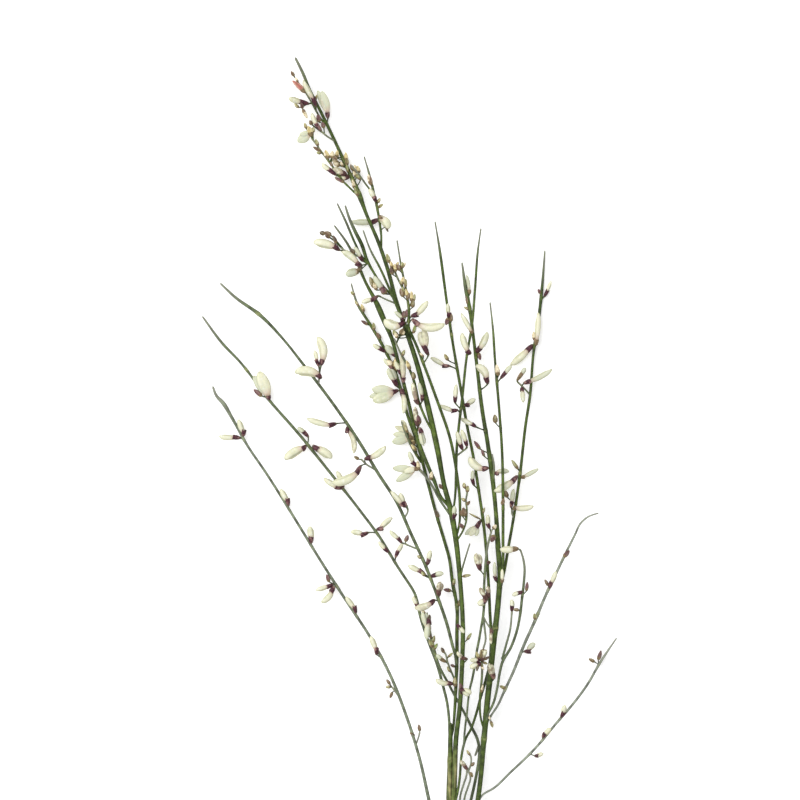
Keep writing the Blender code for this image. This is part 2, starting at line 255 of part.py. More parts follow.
# Flowers by node: (kind, calyx base x, y, calyx mouth x, y, petal tip x, y, petal width,
# sideways bow of the petals, height over the line that carries it)
FLOWERS = {
    "stem_main": [
        ("closed", 126.4, 276.8, 125.0, 279.4, 120.4, 288.0, 1.7, 0.4, 2.2),
        ("half", 130.4, 273.6, 131.2, 276.4, 127.2, 283.6, 3.2, -1.6, 1.4),
        ("closed", 123.6, 278.8, 121.2, 279.2, 116.0, 280.8, 2.0, 0.5, 1.6),
        ("closed", 128.4, 267.6, 125.6, 270.0, 124.6, 274.6, 1.8, 0.5, 0.4),
        ("open", 124.2, 265.6, 122.2, 265.7, 118.0, 264.4, 4.4, 0.3, 0.4),
        ("closed", 134.0, 251.8, 132.0, 252.6, 128.8, 254.8, 1.7, 0.3, 1.2),
        ("closed", 138.0, 247.4, 136.8, 248.8, 134.0, 250.0, 1.7, 0.3, 0.8),
        ("closed", 151.2, 201.6, 148.4, 199.8, 144.8, 198.8, 1.8, -0.3, 0.4),
        ("closed", 181.2, 112.4, 182.0, 114.4, 182.0, 117.6, 1.6, 0.2, 2.9),
        ("half", 186.8, 56.4, 184.8, 57.2, 182.8, 60.0, 2.4, 0.3, 2.6),
        ("closed", 182.9, 70.4, 183.7, 68.8, 185.5, 66.8, 1.5, 0.2, 2.4),
        ("half", 184.4, 45.0, 185.2, 43.2, 188.2, 42.2, 2.6, 0.4, 3.6),
    ],
    "stem_right": [
        ("closed", 187.7, 201.4, 187.7, 203.8, 186.8, 209.0, 1.2, -0.2, 0.5),
        ("closed", 190.4, 178.8, 192.0, 180.8, 194.8, 187.2, 2.4, -0.6, 0.5),
        ("closed", 195.2, 166.4, 194.4, 169.2, 190.4, 173.6, 2.6, -1.5, 0.6),
        ("closed", 190.4, 149.2, 188.8, 150.4, 184.4, 152.8, 1.7, 0.2, 0.0),
        ("closed", 195.4, 133.4, 192.8, 132.4, 188.0, 137.2, 2.6, 1.7, 1.0),
        ("closed", 197.4, 132.0, 199.2, 130.4, 203.6, 131.2, 1.8, 0.6, 0.4),
        ("half", 197.6, 48.4, 197.0, 50.6, 196.0, 54.8, 2.4, 0.3, 2.5),
        ("closed", 198.6, 87.0, 198.1, 90.0, 198.2, 94.8, 1.9, 0.2, 2.2),
    ],
    "twig_left_1": [
        ("closed", 97.2, 145.4, 97.6, 147.8, 95.6, 152.2, 2.0, 0.4, 0.8),
        ("closed", 96.2, 144.8, 93.2, 145.2, 87.6, 145.6, 2.0, 0.4, 0.5),
        ("closed", 115.4, 117.6, 115.0, 120.4, 112.4, 124.4, 2.0, 0.3, 0.6),
        ("closed", 124.4, 102.6, 124.4, 105.2, 124.0, 109.4, 2.4, 0.0, 0.8),
        ("closed", 133.4, 86.2, 130.8, 85.2, 126.4, 83.6, 1.8, -0.2, 0.4),
        ("closed", 133.8, 85.4, 132.4, 83.2, 128.4, 79.2, 2.2, 1.0, 1.2),
        ("closed", 142.4, 74.6, 141.8, 77.4, 138.4, 81.4, 1.8, 0.2, 0.6),
        ("closed", 150.6, 58.0, 150.6, 60.8, 148.4, 65.6, 2.0, 0.2, 0.6),
    ],
    "twig_left_2": [
        ("half", 107.4, 160.6, 106.8, 163.0, 103.6, 171.2, 4.2, 0.3, 0.8),
        ("closed", 122.2, 141.4, 120.6, 139.8, 114.0, 136.0, 2.8, -0.8, 0.8),
        ("closed", 125.0, 141.6, 127.4, 140.0, 132.4, 136.8, 2.8, 0.6, 0.8),
        ("closed", 137.0, 124.6, 134.2, 125.2, 129.6, 128.8, 2.0, 0.3, 0.7),
        ("closed", 137.4, 124.8, 136.6, 127.4, 134.6, 131.4, 1.8, -0.3, 1.2),
        ("closed", 150.6, 108.2, 153.0, 108.6, 157.0, 112.8, 2.0, 0.5, 0.6),
        ("closed", 147.4, 107.0, 144.4, 105.8, 140.4, 107.0, 2.0, -0.5, 0.4),
        ("closed", 155.4, 99.0, 153.8, 100.6, 151.6, 103.4, 1.6, 0.2, 0.5),
        ("closed", 158.2, 97.0, 159.2, 99.6, 161.2, 102.6, 1.6, 0.1, 0.4),
        ("closed", 167.4, 76.4, 166.6, 78.4, 165.4, 81.4, 1.6, 0.2, 0.8),
    ],
    "twig_left_3": [
        ("closed", 128.4, 173.8, 129.0, 176.6, 126.8, 185.2, 2.8, -1.6, 1.2),
        ("closed", 127.2, 169.8, 124.6, 172.0, 118.4, 171.6, 2.8, -1.2, 1.0),
        ("closed", 134.6, 150.6, 131.6, 149.8, 122.8, 152.8, 2.2, 0.6, 0.4),
        ("closed", 139.0, 149.4, 138.8, 146.6, 141.6, 140.6, 1.8, 0.5, 0.2),
        ("closed", 145.8, 136.4, 148.2, 137.0, 154.2, 141.4, 2.0, -0.7, 0.8),
        ("closed", 144.4, 133.8, 142.6, 130.6, 132.6, 127.2, 3.2, 1.6, 0.9),
        ("closed", 162.6, 117.6, 161.2, 119.2, 160.2, 122.8, 2.0, 0.3, 1.0),
        ("closed", 162.4, 117.2, 160.2, 118.6, 156.2, 123.4, 1.8, -0.2, 1.9),
        ("closed", 160.8, 102.8, 159.2, 104.8, 156.0, 107.8, 1.6, 0.2, 0.6),
        ("closed", 170.2, 90.0, 167.6, 92.0, 163.4, 94.0, 2.0, 0.2, 0.8),
        ("closed", 170.8, 94.0, 171.6, 96.2, 172.4, 99.8, 1.8, 0.2, 0.6),
        ("closed", 172.2, 89.4, 174.2, 90.0, 177.4, 90.4, 1.9, 0.4, 0.6),
        ("half", 175.6, 81.4, 175.4, 84.0, 176.6, 87.2, 2.4, 0.2, 0.9),
        ("closed", 174.8, 80.6, 172.2, 78.4, 165.8, 76.8, 2.4, 0.9, 1.6),
    ],
    "twig_left_low": [
        ("half", 171.8, 67.2, 171.2, 69.6, 169.4, 75.4, 2.8, 0.2, 1.2),
        ("closed", 171.4, 73.2, 171.6, 70.4, 170.8, 64.2, 2.2, -0.3, 2.4),
    ],
    "twig_mid_1": [
        ("half", 144.6, 210.6, 142.6, 210.9, 138.2, 210.8, 2.6, 0.2, 0.6),
        ("closed", 160.6, 169.8, 159.6, 172.2, 158.2, 175.4, 1.7, 0.1, 1.2),
        ("closed", 161.2, 167.8, 161.6, 170.4, 158.6, 177.0, 2.2, -1.0, 2.2),
        ("closed", 160.6, 164.6, 161.0, 162.2, 161.2, 154.6, 1.9, 0.8, 2.1),
        ("closed", 167.2, 148.8, 166.6, 151.6, 166.2, 155.2, 1.6, 0.2, 1.9),
        ("half", 167.8, 149.0, 168.6, 146.8, 169.8, 141.8, 2.2, -0.3, 2.0),
    ],
    "twig_mid_2": [
        ("closed", 154.4, 179.4, 152.2, 180.6, 148.8, 182.6, 1.9, 0.3, 0.8),
        ("closed", 157.4, 171.8, 156.0, 174.0, 153.6, 176.6, 1.7, 0.1, 0.9),
        ("half", 158.8, 165.4, 157.6, 168.2, 155.4, 172.8, 3.0, 0.0, 1.4),
        ("open", 159.4, 163.6, 157.0, 162.8, 147.6, 161.2, 7.2, 0.2, 1.8),
        ("open", 165.6, 145.4, 163.6, 146.2, 156.6, 146.6, 7.2, 0.2, 2.0),
        ("closed", 178.4, 55.2, 176.4, 56.4, 174.6, 58.2, 1.5, 0.1, 0.2),
        ("closed", 181.2, 46.4, 179.0, 46.8, 174.4, 48.4, 2.0, 0.8, 2.6),
    ],
    "twig_mid_3": [
        ("closed", 144.6, 213.8, 142.4, 214.8, 136.4, 219.6, 2.4, -0.8, 0.8),
        ("half", 136.0, 221.2, 134.0, 221.4, 125.6, 222.4, 3.0, -0.8, 0.2),
        ("closed", 154.2, 202.8, 152.8, 204.6, 149.0, 209.4, 1.8, 0.1, 1.1),
    ],
    "twig_mid_4": [
        ("closed", 150.4, 239.2, 149.6, 241.4, 148.0, 244.6, 1.9, 0.2, 0.9),
        ("closed", 151.6, 232.4, 149.0, 231.2, 140.4, 231.6, 2.6, 0.6, -4.6),
        ("closed", 152.2, 233.0, 153.8, 233.2, 154.8, 228.2, 2.4, 1.1, 0.8),
    ],
    "twig_mid_5": [
        ("half", 171.2, 179.8, 169.4, 182.4, 168.4, 188.0, 3.6, -0.2, 0.3),
        ("closed", 162.0, 191.2, 159.4, 189.8, 154.0, 191.8, 2.8, 0.9, 0.9),
    ],
    "twig_mid_6": [
        ("closed", 164.4, 193.4, 167.0, 194.2, 171.0, 199.6, 2.3, -0.4, 1.5),
        ("closed", 164.8, 192.4, 167.4, 190.0, 177.6, 189.8, 2.7, -1.2, 2.3),
    ],
    "twig_mid_7": [
        ("closed", 167.4, 158.2, 166.2, 160.2, 165.2, 167.0, 1.9, 0.2, 1.2),
        ("closed", 168.8, 159.4, 168.9, 162.0, 167.6, 167.0, 1.5, 0.0, 2.8),
    ],
    "twig_mid_8": [
        ("open", 167.4, 131.4, 165.4, 131.5, 157.4, 130.4, 5.4, 0.2, 0.4),
        ("closed", 167.0, 133.4, 164.8, 135.2, 163.6, 139.4, 1.8, 0.1, 1.0),
    ],
    "twig_right_1": [
        ("closed", 179.2, 193.0, 179.7, 195.0, 179.2, 198.6, 1.6, 0.2, 0.9),
        ("closed", 180.0, 173.6, 177.0, 173.6, 172.2, 176.8, 1.7, -0.3, 0.8),
        ("closed", 185.6, 158.0, 187.6, 158.0, 190.2, 160.2, 1.9, 0.3, 0.6),
        ("closed", 189.6, 125.8, 188.9, 128.4, 189.2, 131.8, 1.5, 0.1, 1.0),
        ("open", 192.2, 112.0, 190.6, 108.8, 188.4, 104.8, 5.2, 0.1, 1.4),
    ],
    "twig_right_2": [
        ("closed", 188.6, 187.2, 187.2, 189.8, 184.6, 194.4, 1.8, 0.1, 0.6),
        ("closed", 187.6, 178.4, 186.2, 179.8, 185.0, 186.8, 2.3, 0.5, 1.2),
        ("closed", 182.0, 158.8, 182.1, 161.2, 182.6, 166.2, 1.7, 0.1, 0.9),
        ("closed", 183.2, 156.0, 180.6, 155.6, 176.0, 158.0, 1.7, 0.3, 0.6),
        ("closed", 185.2, 140.2, 184.1, 142.4, 182.8, 147.4, 1.9, 0.1, 0.8),
        ("closed", 186.8, 141.4, 186.2, 143.6, 184.6, 148.2, 1.7, 0.0, 1.0),
    ],
    "twig_right_3": [
        ("closed", 196.0, 108.2, 194.9, 110.4, 195.3, 113.8, 1.6, 0.2, 0.3),
        ("half", 191.8, 92.4, 191.2, 94.8, 191.5, 98.6, 3.0, 0.1, 0.6),
        ("closed", 194.8, 79.8, 193.6, 82.0, 192.0, 85.0, 1.9, 0.1, 1.6),
        ("closed", 195.2, 80.6, 195.3, 83.0, 195.1, 85.6, 1.8, 0.0, 0.6),
        ("closed", 194.6, 80.0, 193.2, 79.4, 191.6, 77.8, 2.4, -0.4, 1.4),
        ("closed", 196.1, 68.8, 196.4, 66.4, 195.8, 62.2, 1.7, -0.3, 0.4),
    ],
    "twig_right_4": [
        ("closed", 199.8, 167.4, 201.6, 169.4, 204.0, 174.0, 1.6, -0.3, 0.6),
        ("closed", 200.8, 88.4, 200.9, 90.2, 200.9, 93.8, 1.5, 0.0, 1.4),
    ],
    "twig_right_5": [
        ("closed", 214.0, 181.4, 214.8, 184.4, 216.0, 194.8, 2.2, -0.4, 1.4),
        ("closed", 213.4, 181.8, 210.9, 179.8, 204.4, 174.4, 2.8, 0.5, 0.4),
        ("closed", 209.4, 166.6, 212.2, 167.6, 220.8, 172.4, 2.0, -0.6, 0.6),
        ("closed", 209.0, 165.8, 208.8, 163.6, 209.2, 159.0, 1.7, 0.1, 0.6),
        ("closed", 208.6, 128.8, 210.9, 129.6, 215.2, 132.4, 1.5, -0.1, 0.5),
        ("closed", 207.0, 129.2, 204.4, 126.8, 198.2, 124.4, 2.6, 0.6, 0.2),
        ("closed", 204.4, 117.0, 204.8, 119.4, 205.6, 124.4, 1.7, 0.1, 0.8),
        ("closed", 204.8, 116.8, 207.2, 117.2, 213.4, 117.6, 1.9, -0.7, 0.5),
    ],
    "twig_right_6": [
        ("closed", 207.8, 100.4, 205.6, 100.4, 200.0, 100.4, 2.6, 0.4, 0.9),
        ("closed", 209.2, 83.4, 207.2, 82.8, 204.8, 82.0, 1.6, 0.0, 0.5),
        ("closed", 204.8, 75.8, 204.8, 77.6, 204.8, 80.2, 1.7, 0.0, 0.5),
    ],
    "twig_right_7": [
        ("closed", 219.8, 84.6, 220.6, 87.2, 222.6, 91.4, 1.8, 0.0, 0.9),
        ("closed", 209.6, 59.4, 212.0, 59.6, 214.2, 62.2, 2.0, 0.7, 0.4),
    ],
    "twig_right_8": [
        ("closed", 224.4, 33.0, 225.6, 35.0, 226.2, 37.8, 1.9, 0.2, 0.7),
        ("closed", 217.0, 24.8, 218.0, 26.6, 220.4, 28.6, 1.9, 0.1, 0.7),
        ("closed", 213.8, 17.6, 215.2, 17.6, 217.4, 18.4, 1.5, 0.1, 0.3),
    ],
    "twig_low_1": [
        ("closed", 192.3, 55.0, 191.0, 54.2, 188.0, 52.8, 2.1, -0.2, 0.6),
        ("closed", 192.2, 56.0, 190.8, 56.2, 188.0, 56.2, 1.7, 0.1, 1.4),
        ("closed", 192.7, 55.6, 193.2, 57.2, 194.6, 60.2, 1.9, 0.2, 0.9),
    ],
    "twig_low_2": [
        ("closed", 187.0, 12.6, 185.8, 13.8, 184.2, 16.0, 1.9, 0.1, 0.5),
    ],
}

# Buds by node: (foot x, y, tip x, y, radius, height over the line that carries it)
BUDS = {
    "stem_main": [
        (118.9, 290.2, 116.4, 291.4, 0.55, 0.4), (120.2, 287.0, 118.0, 288.8, 0.6, 0.4),
        (122.2, 283.2, 117.2, 287.2, 0.8, 0.6), (120.0, 277.4, 118.0, 278.4, 0.6, 2.2),
        (121.8, 277.4, 120.0, 276.2, 0.6, 1.0), (120.4, 276.0, 122.4, 273.4, 0.6, 0.6),
        (127.2, 271.2, 127.2, 274.0, 0.7, 0.9), (129.2, 268.6, 129.2, 271.2, 0.7, 0.6),
        (125.6, 269.2, 123.8, 270.6, 0.6, 0.6), (124.6, 266.3, 123.3, 268.7, 0.65, 0.75),
        (123.2, 267.8, 121.8, 270.2, 0.6, 0.9), (127.4, 261.8, 126.6, 264.6, 0.65, 0.5),
        (127.8, 259.6, 125.2, 260.4, 0.65, 0.3), (130.0, 257.4, 130.8, 260.0, 0.65, 0.4),
        (133.2, 255.0, 134.4, 259.6, 0.75, 0.6), (137.2, 250.0, 134.8, 252.6, 0.65, 1.1),
        (138.8, 254.0, 138.0, 258.8, 0.85, 0.8), (185.6, 125.8, 184.8, 128.2, 0.6, 0.2),
        (186.8, 123.8, 188.0, 125.8, 0.6, 0.2), (186.4, 119.4, 184.6, 120.8, 0.6, 0.3),
        (186.5, 117.8, 188.0, 119.6, 0.6, 0.2), (186.6, 114.0, 184.9, 115.6, 0.6, 0.5),
        (185.7, 109.4, 183.9, 110.6, 0.55, 1.2), (184.6, 89.4, 188.4, 90.0, 0.6, 0.6),
        (186.6, 63.8, 188.6, 66.8, 0.6, 0.4),
    ],
    "stem_right": [
        (187.4, 195.6, 186.0, 199.0, 0.6, 0.3), (191.2, 179.0, 192.6, 175.8, 0.75, 0.9),
        (192.6, 139.8, 189.6, 143.6, 0.75, 0.4), (193.2, 139.4, 194.6, 136.6, 0.6, 0.5),
    ],
    "twig_left_1": [
        (131.8, 86.8, 130.6, 90.2, 0.75, 0.5), (156.2, 46.0, 154.6, 48.2, 0.6, 0.2),
        (156.6, 45.2, 154.2, 45.2, 0.6, 0.6), (157.0, 43.4, 156.0, 40.6, 0.6, 0.3),
        (163.8, 27.0, 166.0, 25.8, 0.5, 0.5), (168.0, 27.2, 167.5, 30.2, 0.65, 0.2),
    ],
    "twig_left_2": [
        (105.2, 161.2, 101.4, 164.2, 0.85, 0.4), (122.0, 146.0, 119.4, 149.0, 0.85, 0.6),
    ],
    "twig_left_3": [
        (126.9, 173.6, 125.3, 178.6, 0.8, 0.6), (143.8, 136.2, 141.6, 137.4, 0.65, 0.3),
        (162.3, 103.0, 161.8, 105.8, 0.65, 0.9), (170.1, 89.4, 168.6, 91.4, 0.65, 1.6),
        (168.6, 96.6, 166.9, 97.8, 0.6, 0.3),
    ],
    "twig_left_low": [
        (170.2, 74.2, 168.6, 76.2, 0.6, 0.6),
    ],
    "twig_mid_1": [
        (172.4, 128.4, 172.4, 131.6, 0.6, 0.8),
    ],
    "twig_mid_2": [
        (141.8, 203.2, 139.2, 203.6, 0.6, 0.2), (143.0, 198.6, 141.2, 200.8, 0.6, 0.4),
        (144.8, 195.8, 145.9, 198.6, 0.6, 0.4), (147.8, 190.7, 145.4, 191.7, 0.6, 0.4),
        (149.0, 188.8, 150.4, 191.2, 0.6, 0.5), (151.4, 184.6, 150.6, 187.4, 0.6, 0.5),
        (165.6, 140.8, 163.4, 143.8, 0.75, 1.0), (174.6, 114.7, 173.0, 115.7, 0.55, 0.3),
        (180.8, 83.6, 177.4, 84.1, 0.75, 0.6), (181.4, 85.6, 181.9, 88.6, 0.6, 0.9),
        (183.5, 77.2, 184.1, 80.6, 0.6, 0.4), (177.7, 58.7, 176.5, 61.0, 0.65, 0.2),
        (179.0, 57.0, 181.2, 58.9, 0.5, 0.4), (182.0, 53.2, 180.2, 54.1, 0.55, 0.6),
        (180.2, 51.0, 178.9, 53.4, 0.55, 0.2),
    ],
    "twig_mid_3": [
        (135.4, 222.2, 132.7, 225.3, 0.75, 0.2), (136.0, 221.8, 134.3, 224.2, 0.6, 0.9),
        (143.6, 217.6, 140.7, 220.1, 0.75, 0.4), (150.4, 203.8, 148.0, 208.2, 0.75, 0.4),
    ],
    "twig_mid_4": [
        (140.8, 253.4, 139.5, 255.8, 0.6, 0.2), (142.8, 251.8, 142.4, 254.6, 0.6, 0.4),
        (143.4, 250.2, 141.0, 250.8, 0.6, 0.5), (145.0, 247.8, 145.3, 250.4, 0.6, 0.3),
        (148.2, 245.6, 146.5, 249.4, 0.75, 0.9), (151.0, 238.7, 152.1, 240.8, 0.6, 0.4),
        (151.2, 236.8, 153.2, 238.4, 0.6, 0.4),
    ],
    "twig_mid_5": [
        (169.6, 177.2, 167.8, 178.9, 0.6, 0.3), (161.6, 192.6, 161.4, 195.6, 0.75, 0.7),
    ],
    "twig_mid_6": [
        (155.9, 216.3, 154.2, 217.5, 0.6, 0.35), (157.2, 209.6, 155.9, 213.0, 0.75, 0.6),
        (159.1, 212.4, 159.7, 215.0, 0.6, 0.3), (161.2, 214.0, 161.7, 216.6, 0.6, 0.3),
        (160.9, 206.2, 159.9, 208.6, 0.6, 0.6), (163.0, 201.5, 164.5, 203.5, 0.6, 0.3),
        (163.9, 198.0, 165.3, 199.8, 0.6, 0.3),
    ],
    "twig_mid_7": [
        (159.2, 181.0, 160.5, 183.8, 0.65, 0.5), (160.8, 177.4, 161.9, 180.0, 0.65, 0.6),
        (164.8, 169.0, 166.2, 171.2, 0.6, 1.5),
    ],
    "twig_right_1": [
        (179.2, 175.6, 177.2, 178.6, 0.7, 0.6), (179.6, 192.8, 177.9, 190.2, 0.7, 0.5),
        (180.4, 190.8, 180.4, 194.6, 0.7, 0.7), (193.0, 114.4, 193.9, 117.0, 0.5, 0.4),
        (192.4, 112.2, 187.6, 114.7, 0.4, 0.5), (196.4, 95.2, 194.1, 94.7, 0.65, 1.25),
    ],
    "twig_right_3": [
        (197.0, 108.2, 198.5, 110.1, 0.75, 0.4), (197.3, 106.4, 195.7, 103.4, 0.65, 0.8),
        (193.4, 60.8, 193.0, 58.4, 0.55, 0.2),
    ],
    "twig_right_4": [
        (199.2, 168.0, 198.5, 173.8, 0.85, 0.7), (198.1, 150.2, 197.9, 154.6, 0.8, 0.6),
        (200.8, 117.6, 201.5, 120.8, 0.65, 0.3),
    ],
    "twig_right_5": [
        (217.2, 200.6, 219.7, 206.2, 0.8, 0.5), (216.6, 201.4, 215.0, 203.6, 0.6, 0.4),
        (206.4, 167.4, 210.0, 172.5, 0.8, 0.5), (207.6, 131.8, 204.7, 136.1, 0.65, 0.6),
        (203.0, 120.8, 201.9, 124.1, 0.6, 0.4),
    ],
    "twig_right_6": [
        (210.5, 83.2, 210.9, 87.3, 0.65, 0.3), (207.8, 76.0, 205.2, 76.3, 0.65, 0.9),
    ],
    "twig_right_7": [
        (225.2, 96.8, 227.8, 99.8, 0.85, 0.5), (219.5, 85.4, 217.9, 88.2, 0.6, 0.6),
        (214.3, 71.8, 213.7, 74.6, 0.75, 0.6), (202.6, 44.4, 199.8, 45.7, 0.65, 0.3),
        (196.2, 31.9, 197.1, 29.0, 0.6, 0.4),
    ],
    "twig_right_8": [
        (239.2, 55.4, 240.5, 59.8, 0.75, 0.4), (238.2, 55.0, 235.5, 56.5, 0.65, 0.2),
    ],
    "twig_low_1": [
        (193.0, 55.3, 195.0, 54.5, 0.5, 0.2),
    ],
    "twig_low_2": [
        (188.0, 17.8, 186.7, 20.2, 0.5, 0.2), (188.3, 13.6, 189.8, 15.2, 0.6, 0.45),
        (188.0, 11.4, 189.1, 9.2, 0.6, 0.5),
    ],
}

CLOSED_BANNER = ((0.02, 0.32), (0.42, 0.53), (0.78, 0.42), (1.0, 0.16))
KEEL = ((0.0, 0.24), (0.5, 0.4), (1.0, 0.14))
OPEN_BANNER = (0.12, 0.42, 0.5, 0.2)


def unit(v):
    v = np.asarray(v, float)
    return v / np.linalg.norm(v, axis=-1, keepdims=True)


# A closed tube along a path. The ring's lowest side faces straight down, and depth is
# each ring's height over its width.
def tube(path, radii, sides, depth=None, slant=0.0, headings=()):
    path = np.asarray(path, float)
    radii = np.asarray(radii, float)
    depth = np.ones(len(path)) if depth is None else np.asarray(depth, float)
    along = unit(np.gradient(path, axis=0))
    along[-1] = unit(along[-1] + (slant, 0.0, 0.0))
    for i, heading in headings:
        along[i] = heading
    upright = np.abs(along[:, 2:3]) > 0.95
    side = unit(np.cross(along, np.where(upright, (1.0, 0.0, 0.0), (0.0, 0.0, 1.0))))
    up = np.cross(side, along)
    angle = -math.pi / 2 + math.pi * (2 * np.arange(sides) + 1) / sides
    across = np.cos(angle)[None, :, None] * side[:, None, :]
    above = depth[:, None, None] * np.sin(angle)[None, :, None] * up[:, None, :]
    verts = (path[:, None, :] + radii[:, None, None] * (across + above)).reshape(-1, 3)
    faces = [list(range(sides))]
    for i in range(len(path) - 1):
        for j in range(sides):
            k = (j + 1) % sides
            low = i * sides
            high = low + sides
            faces.append([low + j, high + j, high + k, low + k])
    last = (len(path) - 1) * sides
    faces.append([last + j for j in reversed(range(sides))])
    return verts, faces


# A cupped petal blade with both faces split into the same triangles
def blade(start, end, width, cup):
    along = unit(end - start)
    side = unit(np.cross(along, (0.0, 0.0, 1.0)))
    rows = len(OPEN_BANNER)
    top = []
    for i, share in enumerate(OPEN_BANNER):
        centre = start + (end - start) * i / (rows - 1)
        for v in (-1, 0, 1):
            rise = cup * share * abs(v) + 0.5 * BLADE_THICKNESS
            top.append(centre + side * (v * share * width) + (0.0, 0.0, rise))
    top = np.array(top)
    verts = np.vstack([top, top - (0.0, 0.0, BLADE_THICKNESS)])
    count = len(top)
    faces = []
    for i in range(rows - 1):
        for j in range(2):
            a = i * 3 + j
            b = a + 1
            c = a + 4
            d = a + 3
            faces.append([a, b, c])
            faces.append([a, c, d])
            faces.append([count + c, count + b, count + a])
            faces.append([count + d, count + c, count + a])
    last = 3 * rows - 1
    rim = list(range(0, last - 2, 3)) + [last - 2, last - 1]
    rim += list(range(last, 2, -3)) + [2, 1]
    for i, a in enumerate(rim):
        b = rim[(i + 1) % len(rim)]
        faces.append([a, b, count + b])
        faces.append([a, count + b, count + a])
    return verts, faces


# The point of a node's lines nearest to (x, y), moved a little toward the line's foot
def carrier(node, x, y, slide):
    best = None
    for line in LINES[node]:
        points = np.array(line)
        for a, b in zip(points[:-1], points[1:]):
            step = b[:2] - a[:2]
            share = np.dot((x, y) - a[:2], step) / np.dot(step, step)
            share = min(max(share, 0.0), 1.0)
            near = a + (b - a) * share
            gap = math.hypot(x - near[0], y - near[1])
            if best is None or gap < best[0]:
                shift = slide / np.linalg.norm(step)
                best = (gap, a + (b - a) * min(share + shift, 1.0))
    return best[1]


# Keeps a point above the surface that the spray lies on
def above_surface(point, half_height):
    point = np.array(point, float)
    point[2] = max(point[2], half_height + SURFACE_CLEARANCE)
    return point


# Points of a bowed path from start to end
def bowed(start, end, bow, shares):
    along = unit(end - start)
    left = np.array((-along[1], along[0], 0.0))
    bend = (start + end) / 2 + 2 * bow * left
    t = np.array(shares)[:, None]
    return (1 - t) ** 2 * start + 2 * t * (1 - t) * bend + t ** 2 * end


def petal(start, end, bow, profile, width, sides):
    shares = [share for share, radius in profile]
    radii = [radius * width for share, radius in profile]
    path = bowed(start, end, bow, shares)
    for i, radius in enumerate(radii):
        path[i] = above_surface(path[i], radius * KEEL_DEPTH_SHARE)
    return tube(path, radii, sides, [KEEL_DEPTH_SHARE] * len(profile))


# Stalk, calyx and petals of one flower. The calyx and the banner petal, which stands in
# the calyx's mouth, are one shell with a step between them.
def flower(node, kind, bx, by, mx, my, tx, ty, width, bow, lift):
    host = carrier(node, bx, by, 0.8)[:3]
    level = host[2]
    mouth_radius = min(max(0.36 * width + 0.28, 0.8), 1.15)
    base = above_surface((bx, by, level + 0.6 * lift), CALYX_BASE_RADIUS)
    mouth = above_surface((mx, my, level + lift), mouth_radius)
    tip = above_surface((tx, ty, level + lift), 0.3)
    along = unit(mouth - base)
    shells = []
    if np.linalg.norm(base - host) > STALK_FROM_LENGTH:
        stalk = [host, base + 0.4 * along]
        shells.append(tube(stalk, [STALK_RADIUS, STALK_RADIUS], STALK_SIDES))
    else:
        base = host
        along = unit(mouth - base)
    calyx = [base, mouth]
    calyx_radii = [CALYX_BASE_RADIUS, mouth_radius]
    inside = mouth - 0.6 * along
    reach = unit(tip - mouth)
    left = unit(np.array((-reach[1], reach[0], 0.0)))
    if kind == "open":
        shells.append(tube(calyx, calyx_radii, CALYX_SIDES))
        shells.append(blade(mouth - 0.4 * along, tip, width, 0.35 * width))
        for turn, share in ((-1, 0.55), (1, 0.55), (0, 0.66)):
            end = mouth + (tip - mouth) * share - left * (turn * 0.27 * width)
            end = end + (0.0, 0.0, 0.5 + 0.05 * width)
            shells.append(petal(inside, end, 0.12 * turn * width, KEEL,
                                0.3 * width + 0.7, KEEL_SIDES))
        return shells
    shares = [share for share, radius in CLOSED_BANNER]
    banner = bowed(mouth, tip, bow, shares)
    banner_radii = [min(radius * width, 0.92 * mouth_radius) if share < 0.1
                    else radius * width for share, radius in CLOSED_BANNER]
    for i, radius in enumerate(banner_radii):
        banner[i] = above_surface(banner[i], radius * PETAL_DEPTH_SHARE)
    path = calyx + list(banner)
    radii = calyx_radii + banner_radii
    depth = [1.0, 0.9, 0.8] + [PETAL_DEPTH_SHARE] * 3
    halfway = unit(along + unit(banner[1] - mouth))
    shells.append(tube(path, radii, CALYX_SIDES, depth, 0.0, [(1, halfway), (2, halfway)]))
    if width >= KEEL_FROM_WIDTH:
        turn = -1.0 if bow >= 0 else 1.0
        end = mouth + (tip - mouth) * 0.72 + left * (turn * 0.36 * width)
        end[2] += 0.1 * width
        shells.append(petal(inside, end, bow, KEEL, 0.85 * width, KEEL_SIDES))
        if kind == "half":
            end = mouth + (tip - mouth) * 0.8 - left * (turn * 0.42 * width)
            end[2] += 0.08 * width
            shells.append(petal(inside, end, bow, KEEL, 0.8 * width, KEEL_SIDES))
    return shells


# Stalk and body of one bud
def bud(node, fx, fy, tx, ty, radius, lift):
    host = carrier(node, fx, fy, 0.5)
    foot = above_surface((fx, fy, host[2] + 0.5 * lift), radius)
    tip = above_surface((tx, ty, host[2] + lift), radius)
    belly = foot + (tip - foot) * 0.55
    radii = [BUD_STALK_RADIUS, 1.1 * radius, 0.5 * radius]
    sides = 4 if radius > 0.66 else 3
    return [tube([host[:3], belly, tip], radii, sides)]


def mesh_object(name, verts, faces):
    verts = (np.asarray(verts) - (CENTRE_X, CENTRE_Y, 0.0)) * MM
    mesh = bpy.data.meshes.new(name)
    mesh.from_pydata(verts.tolist(), [], faces)
    mesh.update()
    return bpy.data.objects.new(name, mesh)


